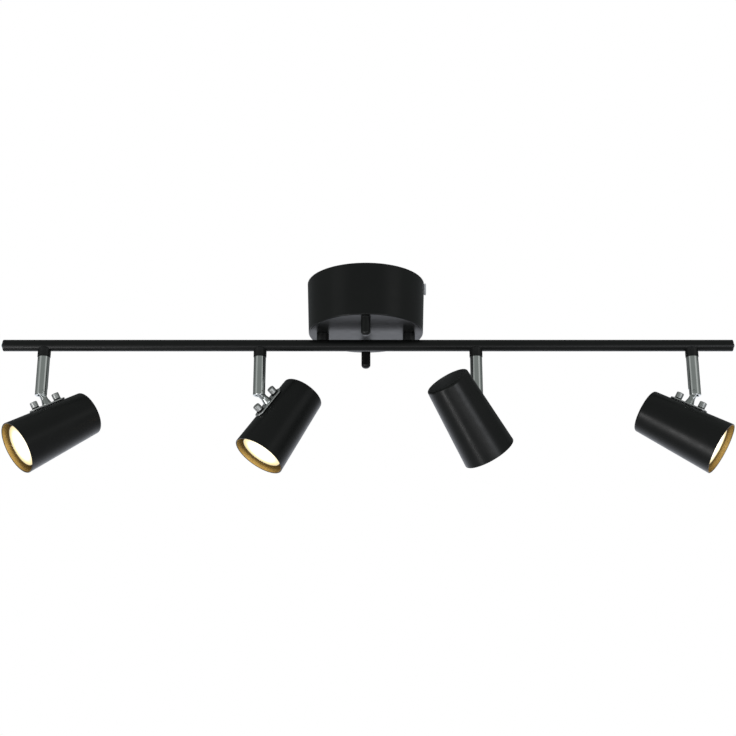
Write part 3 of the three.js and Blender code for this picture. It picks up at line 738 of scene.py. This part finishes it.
def make_cable_entry():
    low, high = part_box("cable_entry_insert")
    width, depth, top = high.y - low.y, -low.z, high.z
    outer = soften(entry_plate(width, depth, top, canopy_radius + TOUCH, high.x), SOFT_EDGE)
    inner = soften(entry_plate(width, depth, top, low.x, low.x + ENTRY_LIP), CRISP_EDGE)
    within = ENTRY_LIP / 2  # how far the web runs into the lips, and its top stays below theirs
    web = entry_plate(ENTRY_WEB, depth - ENTRY_LIP, top - within, low.x + within, high.x - within)
    knock_out = tube(KNOCK_OUT_INNER, KNOCK_OUT_OUTER, 0, PAST, sides=40)
    moved(knock_out, ALONG, at(high.x - KNOCK_OUT_DEPTH, 0, -depth / 2 - KNOCK_OUT_DROP))
    plug = combine("UNION", web, outer, inner)
    plug = combine("DIFFERENCE", plug, knock_out)
    add_piece("cable_entry", plug, at(), "grey_plastic", "base", "cable_entry_insert")


def make_bracket():
    size = size_of("ceiling_bracket")
    strip = prism(oblong(size.x, size.y, BRACKET_CORNER), -size.z, 0)
    stud_y = middle_of("bracket_stud_rear").y
    drill = (-size.z - PAST, PAST)
    cutters = [shifted(shaft(STUD_HOLE, *drill), y=side * stud_y) for side in (-1, 1)]
    slot = oblong(SLOT_WIDTH, SLOT_LENGTH, SLOT_WIDTH * HALF_ROUND, steps=10)
    cutters += [shifted(prism(slot, *drill), y=side * SLOT_OFFSET) for side in (-1, 1)]
    strip = soften(combine("DIFFERENCE", strip, *cutters), CRISP_EDGE)
    add_piece("bracket_strip", strip, at(), "zinc_steel", "base", "ceiling_bracket")


def hex_nut(radius, low, high):
    """A hexagon with its corners chamfered as on a turned nut."""
    edge = radius * HEX_CHAMFER
    turned = lathe(
        [
            (0, low),
            (radius - edge, low),
            (radius, low + edge / 2),
            (radius, high - edge / 2),
            (radius - edge, high),
            (0, high),
        ],
        sides=72,
    )
    return combine("INTERSECT", prism(hexagon(radius * HEX_OVERSIZE), low, high), turned)


def make_stud(name):
    node = f"bracket_stud_{name}"
    low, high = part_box(node)
    start, stop = low.z + STUD_LEAD, high.z - STUD_LEAD / 2
    point = STUD_RADIUS * STUD_POINT
    rows = ladder(STUD_RADIUS, start, stop, THREAD_STEP)
    profile = [(0, low.z), (point, low.z), *rows, (point, high.z), (0, high.z)]
    relief = thread(THREAD_PITCH, THREAD_DEPTH, STUD_RADIUS, start, stop)
    rod = lathe(profile, sides=24, relief=relief)
    nut_top = -size_of("ceiling_bracket").z - TOUCH
    nut = hex_nut(STUD_NUT_RADIUS, nut_top - STUD_NUT_HEIGHT, nut_top)
    place = at(y=middle_of(node).y)
    add_piece(f"stud_{name}", rod, place, "zinc_steel", "base", node)
    add_piece(f"stud_nut_{name}", nut, place, "zinc_steel", "base")


def make_cap_nut(name):
    node = f"cap_nut_{name}"
    low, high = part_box(node)
    radius = (high.y - low.y) / 2
    top, bottom = -canopy_height - TOUCH, low.z
    knurl_low, knurl_high = bottom + NUT_DOME, top - NUT_NECK
    dome = rounded([(0, bottom), (radius, bottom, NUT_DOME), (radius, knurl_high)], steps=10)[:-1]
    body = ladder(radius, knurl_low + KNURL_STEP, knurl_high, KNURL_STEP)
    corners = [*dome, *body, (radius, knurl_high + NUT_STEP), (radius, top, FINE_EDGE), (0, top)]
    relief = knurl(KNURL_PITCH, KNURL_DEPTH, radius, knurl_low, knurl_high)
    nut = lathe(corners, sides=132, relief=relief)
    add_piece(f"knurled_{node}", nut, at(y=middle_of(node).y), "satin_black", "base", node, sharp=60)


def make_terminal_block():
    low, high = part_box("terminal_block")
    size = high - low
    outline = oblong(size.x, size.y, TERMINAL_CORNER)
    block = soften(prism(outline, 0, size.z), TERMINAL_EDGE, beyond=70)
    cutters = []
    for x in TERMINAL_WELLS:
        cutters.append(shifted(shaft(TERMINAL_WELL_RADIUS, -PAST, TERMINAL_WELL_DEPTH), x=x))
        entry = shaft(TERMINAL_WELL_RADIUS, size.y / 2 - TERMINAL_WELL_DEPTH, size.y / 2 + PAST)
        cutters.append(moved(entry, Matrix.Rotation(-math.pi / 2, 4, "X"), at(x, 0, size.z / 2)))
    groove = oblong(TERMINAL_GROOVE_WIDTH, size.y * 2, SLOT_CORNER)
    for x in TERMINAL_GROOVES:
        cutters.append(shifted(prism(groove, size.z - TERMINAL_GROOVE_DEPTH, size.z * 2), x=x))
    block = combine("DIFFERENCE", block, *cutters)
    add_piece("terminal", block, at(z=low.z), "white_plastic", "base", "terminal_block")
    for i, x in enumerate(TERMINAL_WELLS, 1):
        head = shaft(TERMINAL_WELL_RADIUS * TERMINAL_SCREW_FIT, *TERMINAL_SCREW_HEIGHTS)
        cut = prism(oblong(*TERMINAL_SCREW_SLOT, SLOT_CORNER), *TERMINAL_SCREW_SLOT_HEIGHTS)
        screw = soften(combine("DIFFERENCE", head, cut), TERMINAL_SCREW_EDGE)
        add_piece(f"terminal_screw_{i}", screw, at(x, 0, low.z), "zinc_steel", "base")


def make_feed_lead():
    """The lead from the bar through the left hollow screw to the terminal block, on the CAD's own route."""
    low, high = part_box("feed_lead")
    left, right = low.x + LEAD_RADIUS, high.x
    entry = middle_of("terminal_block").z
    route = [
        (left, low.z),
        (left, -canopy_height + LEAD_RISE),
        (left + LEAD_LEAN[0], LEAD_LEAN[1]),
        LEAD_BEND,
        (right - LEAD_ARRIVAL, entry),
        (right, entry),
    ]
    curve = bpy.data.curves.new("lead", "CURVE")
    curve.dimensions = "3D"
    curve.bevel_depth = LEAD_RADIUS
    curve.bevel_resolution = 6
    curve.resolution_u = 10
    curve.use_fill_caps = True
    spline = curve.splines.new("BEZIER")
    spline.bezier_points.add(len(route) - 1)
    for knot, (x, z) in zip(spline.bezier_points, route):
        knot.co = (x, 0, z)
        knot.handle_left_type = knot.handle_right_type = "AUTO"
    curve.materials.append(finishes["wire_sheath"])
    item = bpy.data.objects.new("supply_lead", curve)
    bpy.context.scene.collection.objects.link(item)
    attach(item, "base")
    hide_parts("feed_lead")


# ---- Bar ----


def saddle(reach):
    """The bar's own cylinder along X, to notch what sits on it."""
    return moved(shaft(bar_radius + TOUCH, -reach, reach, sides=96), ALONG)


def make_bar():
    inner = bar_radius - BAR_WALL
    half = size_of("bar").x / 2
    rows = ladder(bar_radius, -half + PAST, half - PAST, BAR_RING_GAP)
    profile = [(inner, -half), (bar_radius, -half), *rows, (bar_radius, half), (inner, half)]
    pipe = moved(lathe(profile, closed=True), ALONG)
    drill = (0, bar_radius + PAST)
    holes = []
    for name, _ in SIDES:
        holes.append(shifted(shaft(SHAFT_HOLE, *drill), x=middle_of(f"spacer_{name}").x - bar_middle))
    flip = Matrix.Rotation(math.pi, 4, "X")
    for number in HEADS:
        offset = middle_of(f"collar_{number}").x - bar_middle
        holes.append(moved(shaft(SHAFT_HOLE, *drill), flip, at(offset)))
    pipe = combine("DIFFERENCE", pipe, *holes)
    add_piece("bar_tube", pipe, at(x=bar_middle, z=bar_axis), "satin_black", "base", "bar")


def make_bar_end(name, side):
    place = at(x=bar_middle, z=bar_axis) @ Matrix.Rotation(side * math.pi / 2, 4, "Y")
    bore, plug = END_SCREW_SHANK + TOUCH, bar_radius - BAR_WALL - TOUCH
    flange = bar_end - CAP_FLANGE
    cap = lathe(
        [
            (bore, bar_end, CAP_BORE_EDGE),
            (bar_radius, bar_end, CAP_EDGE),
            (bar_radius, flange),
            (plug, flange),
            (plug, flange - CAP_PLUG, ROUND_EDGE),
            (bore, flange - CAP_PLUG),
        ],
        closed=True,
        steps=8,
    )
    add_piece(f"bar_cap_{name}", cap, place, "black_plastic", "base", f"end_cap_{name}")

    node = f"end_screw_{name}"
    size = size_of(node)
    head_radius = size.z / 2
    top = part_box("end_screw_right")[1].x - bar_middle
    seat = bar_end + TOUCH
    turns = [math.pi / 2 * step / 12 for step in range(12)]
    profile = [
        *[(head_radius * math.sin(a), seat + (top - seat) * math.cos(a) ** END_SCREW_DOME) for a in turns],
        (head_radius, seat),
        (END_SCREW_SHANK, seat),
        (END_SCREW_SHANK, top - size.x),
        (0, top - size.x),
    ]
    blade = oblong(*END_SCREW_BLADE)
    quarters = (Matrix.Rotation(turn, 4, "Z") for turn in (0, math.pi / 2))
    cross = [moved(prism(blade, top - END_SCREW_RECESS, top + PAST), quarter) for quarter in quarters]
    screw = combine("DIFFERENCE", lathe(profile, sides=64), *cross)
    add_piece(f"cap_screw_{name}", screw, place, "chrome", "base", node, material=dull)


def make_spacer(name):
    node = f"spacer_{name}"
    low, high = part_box(node)
    radius = (high.y - low.y) / 2
    top, bottom = -canopy_height - bar_axis - TOUCH, low.z - bar_axis
    sleeve = tube(SHAFT_HOLE, radius, bottom, top, (0, SOFT_EDGE))
    sleeve = combine("DIFFERENCE", sleeve, saddle(2 * radius))
    place = at(middle_of(node).x, 0, bar_axis)
    add_piece(f"{node}_sleeve", sleeve, place, "satin_black", "base", node)


def make_hollow_screw(name):
    node = f"hollow_screw_{name}"
    seat = CANOPY_WALL - canopy_height + TOUCH
    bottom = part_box(node)[0].z
    head = hex_nut(HOLLOW_HEAD_RADIUS, seat, seat + HOLLOW_HEAD_HEIGHT)
    stem = shaft(HOLLOW_SHAFT, bottom, seat + PAST, sides=48)
    bore = shaft(HOLLOW_BORE, bottom - PAST, seat + 2 * HOLLOW_HEAD_HEIGHT, sides=48)
    screw = combine("DIFFERENCE", combine("UNION", head, stem), bore)
    place = at(middle_of(f"spacer_{name}").x)
    add_piece(f"hollow_bolt_{name}", screw, place, "zinc_steel", "base", node)


# ---- Arms ----


def make_collar(number):
    node = f"collar_{number}"
    low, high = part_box(node)
    radius = (high.y - low.y) / 2
    sleeve = tube(HOLLOW_BORE, radius, -COLLAR_BOTTOM, high.z - bar_axis, (SOFT_EDGE, 0))
    sleeve = combine("DIFFERENCE", sleeve, saddle(2 * radius))
    stem = tube(HOLLOW_BORE, HOLLOW_SHAFT, -STEM_BOTTOM, -STEM_TOP, (STEM_EDGE, 0), sides=48)
    place = at(middle_of(node).x, 0, bar_axis)
    add_piece(f"{node}_sleeve", sleeve, place, "satin_black", "base", node)
    add_piece(f"{node}_stem", stem, place, "satin_black", "base")


def pin_bore(depth):
    """The tool for the knee pin's hole, along Y at this depth."""
    tool = shaft(PIN_RADIUS + TOUCH, -ROD_CUT_REACH, ROD_CUT_REACH, sides=40)
    return moved(tool, ACROSS, at(z=-depth))


def make_rod(number):
    top = -COLLAR_BOTTOM - ROD_GAP
    slot_top = SLOT_REACH - KNEE_DEPTH
    body = lathe(
        [
            (0, top),
            (ROD_RADIUS, top, CRISP_EDGE),
            (ROD_RADIUS, top - ROD_RING_GAP),
            (ROD_RADIUS, slot_top + ROD_RING_GAP),
            (ROD_RADIUS, -ROD_BOTTOM, ROD_END_EDGE),
            (0, -ROD_BOTTOM),
        ],
        sides=128,
    )
    opening = [
        (-ROD_CUT_REACH, -SLOT_HALF),
        (SLOT_REACH, -SLOT_HALF),
        (SLOT_REACH, SLOT_HALF),
        (-ROD_CUT_REACH, SLOT_HALF),
    ]
    slot = prism(opening, -ROD_BOTTOM - PAST, slot_top)
    stem_bore = shaft(SHAFT_HOLE, -ROD_BORE_END, top + PAST)
    wire_bore = shaft(HOLLOW_BORE, slot_top - PAST, PAST - ROD_BORE_END)
    body = combine("DIFFERENCE", body, slot, stem_bore, wire_bore, pin_bore(KNEE_DEPTH))
    place = arm_place(number)
    add_piece(f"rod_{number}_turned", body, place, "chrome", f"arm_{number}", f"rod_{number}")

    half = PIN_LENGTH / 2
    profile = [(0, -half), (PIN_RADIUS, -half, FINE_EDGE), (PIN_RADIUS, half, FINE_EDGE), (0, half)]
    pin = moved(lathe(profile, sides=40), ACROSS, at(z=-KNEE_DEPTH))
    add_piece(f"knee_pin_{number}_turned", pin, place, "chrome", f"arm_{number}", f"knee_pin_{number}")


def foot_section(height, base):
    """Half widths along X and Y and the squareness of the knee foot at a height."""
    if height > 0:
        narrowed = math.sqrt(TONGUE_HALF_WIDTH**2 - height**2)
        return narrowed, TONGUE_HALF_THICKNESS, TONGUE_SQUARENESS
    if height > -TONGUE_LENGTH:
        return TONGUE_HALF_WIDTH, TONGUE_HALF_THICKNESS, TONGUE_SQUARENESS
    share = min(1, (-TONGUE_LENGTH - height) / (-TONGUE_LENGTH - base - FOOT_RIM))
    ease = share**FOOT_FLARE
    wide = TONGUE_HALF_WIDTH + (FOOT_BASE_RADIUS - TONGUE_HALF_WIDTH) * ease
    thick = TONGUE_HALF_THICKNESS + (FOOT_BASE_RADIUS - TONGUE_HALF_THICKNESS) * ease
    return wide, thick, TONGUE_SQUARENESS - 2 * min(1, 4 * share)


def foot_heights(base):
    """Heights of the knee foot's rings, from its base up to the tongue's round end."""
    rim = base + FOOT_RIM
    heights = [base, base + FOOT_CHAMFER, rim]
    heights += [rim + (-TONGUE_LENGTH - rim) * k / 10 for k in range(1, 11)]
    heights += [-TONGUE_LENGTH / 2, 0]
    heights += [TONGUE_HALF_WIDTH * math.sin(math.pi / 2 * k / 12) for k in range(1, 12)]
    return heights + [TONGUE_HALF_WIDTH * FOOT_TIP]


def make_knee_foot(number):
    base = plate_top + TOUCH
    mesh = bmesh.new()
    rings = []
    for height in foot_heights(base):
        wide, thick, square = foot_section(height, base)
        if height == base:
            wide, thick = wide - FOOT_CHAMFER, thick - FOOT_CHAMFER
        ring = []
        for k in range(FOOT_SIDES):
            angle = 2 * math.pi * k / FOOT_SIDES
            c, s = math.cos(angle), math.sin(angle)
            x = math.copysign(abs(c) ** (2 / square), c) * wide
            y = math.copysign(abs(s) ** (2 / square), s) * thick
            ring.append(mesh.verts.new((x, y, height)))
        rings.append(ring)
    for lower, upper in zip(rings, rings[1:]):
        skin(mesh, lower, upper)
    mesh.faces.new(rings[0])
    mesh.faces.new(rings[-1])
    foot = combine("DIFFERENCE", outward(mesh), pin_bore(0))
    node = f"knee_foot_{number}"
    add_piece(f"{node}_forged", foot, foot_place(number), "chrome", f"head_{number}", node, material=cast)


# ---- Heads ----


def make_plate(number):
    outline = oblong(PLATE_LENGTH, PLATE_WIDTH, PLATE_WIDTH * HALF_ROUND, steps=16)
    strip = soften(prism(outline, plate_bottom, plate_top), SOFT_EDGE, segments=3)
    node = f"mounting_plate_{number}"
    add_piece(f"{node}_pressed", strip, head_place(number), "chrome", f"head_{number}", node, material=dull)


def make_thumb_screw(number, name, side):
    seat = plate_top + TOUCH
    base = seat + WASHER_HEIGHT + TOUCH
    top = base + SCREW_HEIGHT
    low, high = base + SCREW_CHAMFER, top - SCREW_CHAMFER
    end = plate_top - SCREW_SHANK_LENGTH
    rim = SCREW_RADIUS - SCREW_CHAMFER - KNURL_DEPTH / 2
    dish, brim = (SCREW_RADIUS * share for share in SCREW_DISH_RADII)
    head = lathe(
        [
            (0, top - SCREW_DISH),
            (dish, top - SCREW_DISH),
            (brim, top),
            (rim, top),
            *reversed(ladder(SCREW_RADIUS, low, high, KNURL_STEP)),
            (rim, base),
            (SCREW_SHANK, base),
            (SCREW_SHANK, end, FINE_EDGE),
            (0, end),
        ],
        relief=knurl(KNURL_PITCH, KNURL_DEPTH, SCREW_RADIUS, low, high),
    )
    place = head_place(number) @ at(x=side * SCREW_SPACING / 2)
    body, node = f"head_{number}", f"thumb_screw_{number}_{name}"
    add_piece(f"{node}_knurled", head, place, "chrome", body, node, material=dull, sharp=60)

    edges = (FINE_EDGE, FINE_EDGE)
    washer = tube(SCREW_SHANK + TOUCH, WASHER_RADIUS, seat, seat + WASHER_HEIGHT, edges, sides=64)
    add_piece(f"washer_{number}_{name}", washer, place, "black_rubber", body)


def make_shade(number):
    front, back = SHADE_FRONT_RADIUS, SHADE_BACK_RADIUS
    inner = SHADE_BACK + SHADE_WALL
    shell = lathe(
        [
            (0, inner),
            (back - SHADE_WALL, inner, SHADE_INNER_EDGE),
            (front - SHADE_WALL, SHADE_FRONT, SHADE_RIM_EDGE),
            (front, SHADE_FRONT, SHADE_RIM_EDGE),
            (back, SHADE_BACK, SHADE_BACK_EDGE),
            (0, SHADE_BACK),
        ],
        sides=160,
        steps=6,
    )
    body, place = f"head_{number}", shade_place(number)
    add_piece(f"shade_{number}_shell", shell, place, "satin_black", body, f"shade_{number}")

    gap = SHADE_WALL + TOUCH
    mouth = SHADE_FRONT - SHADE_RIM_EDGE
    mouth_radius = front - gap - SHADE_RIM_EDGE * math.tan(taper)
    lining = lathe(
        [
            (0, SHADE_BACK + gap),
            (back - gap, SHADE_BACK + gap, SHADE_INNER_EDGE),
            (mouth_radius, mouth),
            (mouth_radius - LINING, mouth),
            (back - gap - LINING, SHADE_BACK + gap + LINING, LINING_INNER_EDGE),
            (0, SHADE_BACK + gap + LINING),
        ],
        sides=160,
        steps=6,
    )
    add_piece(f"shade_{number}_lining", lining, place, "gold_paint", body)


def make_lamp(number):
    glass_radius = LAMP_RADIUS - LAMP_BEZEL
    floor = LAMP_FRONT - LAMP_RECESS
    body = lathe(
        [
            (0, floor),
            (glass_radius + TOUCH, floor),
            (glass_radius + TOUCH, LAMP_FRONT, FINE_EDGE),
            (LAMP_RADIUS, LAMP_FRONT, ROUND_EDGE),
            (LAMP_RADIUS, LAMP_FRONT - LAMP_RIM, LAMP_RIM_EDGE),
            *[(*point, LAMP_CURVE_EDGE) for point in LAMP_CURVE],
            (LAMP_NECK_RADIUS, LAMP_NECK, LAMP_NECK_EDGE),
            (LAMP_NECK_RADIUS, LAMP_BACK, LAMP_BACK_EDGE),
            (0, LAMP_BACK),
        ],
        steps=5,
    )
    profile = []
    for k in range(LAMP_GLASS_RINGS + 1):
        share = k / LAMP_GLASS_RINGS
        groove = LAMP_GLASS_GROOVE * (k % 2)
        height = LAMP_FRONT - LAMP_GLASS_INSET + LAMP_BULGE * (1 - share**2) - groove
        profile.append((glass_radius * share, height))
    profile += [(glass_radius, floor + TOUCH), (0, floor + TOUCH)]
    body_name, place = f"head_{number}", shade_place(number)
    add_piece(f"lamp_{number}_body", body, place, "lamp_glass", body_name, f"lamp_{number}")
    add_piece(f"lamp_{number}_glass", lathe(profile), place, "lamp_glass", body_name, material=lit)


def dress_cad_nodes():
    """The CAD nodes that still show get the finish of their slot."""
    slots = {part["node"]: part["material_slot"] for part in frame["record"]["subparts"]}
    for name, node in frame["nodes"].items():
        if not node.hide_render:
            node.material_slots[0].material = finishes[slots[name]]


# ---- Everything on the object ----

make_canopy()
make_cable_entry()
make_bracket()
make_terminal_block()
make_feed_lead()
make_bar()
for name in ENDS:
    make_stud(name)
    make_cap_nut(name)
for name, side in SIDES:
    make_bar_end(name, side)
    make_spacer(name)
    make_hollow_screw(name)
for number in HEADS:
    make_collar(number)
    make_rod(number)
    make_knee_foot(number)
    make_plate(number)
    make_thumb_screw(number, "front", 1)
    make_thumb_screw(number, "rear", -1)
    make_shade(number)
    make_lamp(number)
dress_cad_nodes()

# ---- Camera, light and floor ----

CAMERA_PITCH = 18.46  # degrees up
CAMERA_DISTANCE = 1.616
CAMERA_TARGET_DROP = 27.4 * MM  # below the middle of the bar
CAMERA_LENS = 68.48

FLOOR_HEIGHT = -2.4
FLOOR_RADIUS = 12
FLOOR_THICKNESS = 0.01
FLOOR_COLOURS = ((0.86, 0.86, 0.86), (0.90, 0.90, 0.90))
FLOOR_MOTTLE = 0.4  # size of the patches where it is a little lighter or darker

PLAIN = (1, 1, 1)
PANELS = (  # name, place, width and height, radiance and tint
    ("tall_left", (-0.9, -0.8, -0.95), (0.2, 1.3), 8.2, PLAIN),
    ("square_right", (1.15, -1.62, -0.82), (0.6, 0.6), 4.6, (0.93, 0.96, 1)),
    ("strip_below", (0, -1.3, -1.06), (1.8, 0.25), 1.9, PLAIN),
    ("fill_left", (-1.7, -1.2, 0.6), (1.0, 0.8), 0.25, PLAIN),
    ("fill_right", (1.7, -1.2, 0.6), (1.0, 0.8), 0.35, PLAIN),
)

# What reflections see of the room: before the fixture and behind it, above and below.
ROOM_ABOVE = ((0.27, 0.29, 0.28), (0.14, 0.15, 0.15))
ROOM_BELOW = ((0.32, 0.33, 0.34), (1.16, 1.20, 1.30))
ROOM_ABOVE_SPAN = (-0.3, 0.7)  # of a direction's Y, from before to behind
ROOM_BELOW_SPAN = (0.3, 0.95)
HORIZON_TILT = -0.2  # the horizon is lower behind the fixture
HORIZON_SPAN = (-0.2, 0.15)
ROOM_LIGHT = (0.75, 0.75, 0.75)  # what lights surfaces that don't shine


def add_camera():
    pitch = math.radians(CAMERA_PITCH)
    target = Vector((bar_middle, 0, bar_axis - CAMERA_TARGET_DROP))
    camera = bpy.data.objects.new("camera", bpy.data.cameras.new("camera"))
    camera.data.lens = CAMERA_LENS
    camera.location = target - CAMERA_DISTANCE * Vector((0, math.cos(pitch), math.sin(pitch)))
    camera.rotation_euler = (math.pi / 2 + pitch, 0, 0)
    bpy.context.scene.collection.objects.link(camera)
    bpy.context.scene.camera = camera


def add_panel(name, place, size, radiance, tint):
    """A soft rectangular light that faces the fixture. It shows in reflections but not to the camera."""
    light = bpy.data.lights.new(name, "AREA")
    light.shape = "RECTANGLE"
    light.size, light.size_y = size
    light.energy = radiance * math.pi * size[0] * size[1]
    light.color = tint
    item = bpy.data.objects.new(name, light)
    item.location = place
    item.rotation_euler = (Vector(place) - middle_of("bar")).to_track_quat("Z", "Y").to_euler()
    item.visible_camera = False
    bpy.context.scene.collection.objects.link(item)


def add_floor():
    """A pale round floor. Reflections on the fixture see the studio through it."""
    floor = loose_object(shaft(FLOOR_RADIUS, FLOOR_HEIGHT - FLOOR_THICKNESS, FLOOR_HEIGHT, sides=128))
    floor.name = "floor"
    finish = Finish("floor", Roughness=0.8)
    finish.colour(finish.mix(finish.noise(FLOOR_MOTTLE), *FLOOR_COLOURS))
    floor.data.materials.append(finish.material)
    floor.visible_glossy = False


def add_world():
    """White to the camera. Reflections see a dim room above and a bright one below, brightest behind."""
    world = bpy.data.worlds.new("studio")
    bpy.context.scene.world = world
    world.use_nodes = True
    world.cycles.sampling_method = "NONE"
    nodes = Nodes(world.node_tree)
    nodes.tree.nodes.clear()
    direction = nodes.add("ShaderNodeTexCoord").outputs["Generated"]
    parts = nodes.add("ShaderNodeSeparateXYZ", {0: direction}).outputs
    height = nodes.maths("MULTIPLY_ADD", parts["Y"], HORIZON_TILT, parts["Z"])
    below = nodes.span(height, 1, 0, *HORIZON_SPAN, curve="SMOOTHSTEP")
    behind = nodes.span(parts["Y"], 0, 1, *ROOM_ABOVE_SPAN, curve="SMOOTHSTEP")
    upper = nodes.mix(behind, *ROOM_ABOVE)
    backdrop = nodes.span(parts["Y"], 0, 1, *ROOM_BELOW_SPAN, curve="SMOOTHSTEP")
    lower = nodes.mix(backdrop, *ROOM_BELOW)
    room = nodes.mix(below, upper, lower)
    rays = nodes.add("ShaderNodeLightPath").outputs
    lit_room = nodes.mix(rays["Is Diffuse Ray"], room, ROOM_LIGHT)
    seen = nodes.mix(rays["Is Camera Ray"], lit_room, PLAIN)
    background = nodes.add("ShaderNodeBackground", {"Color": seen})
    nodes.add("ShaderNodeOutputWorld", {"Surface": background.outputs[0]})


add_camera()
add_floor()
add_world()
for panel in PANELS:
    add_panel(*panel)
bpy.context.scene.view_settings.view_transform = "Standard"
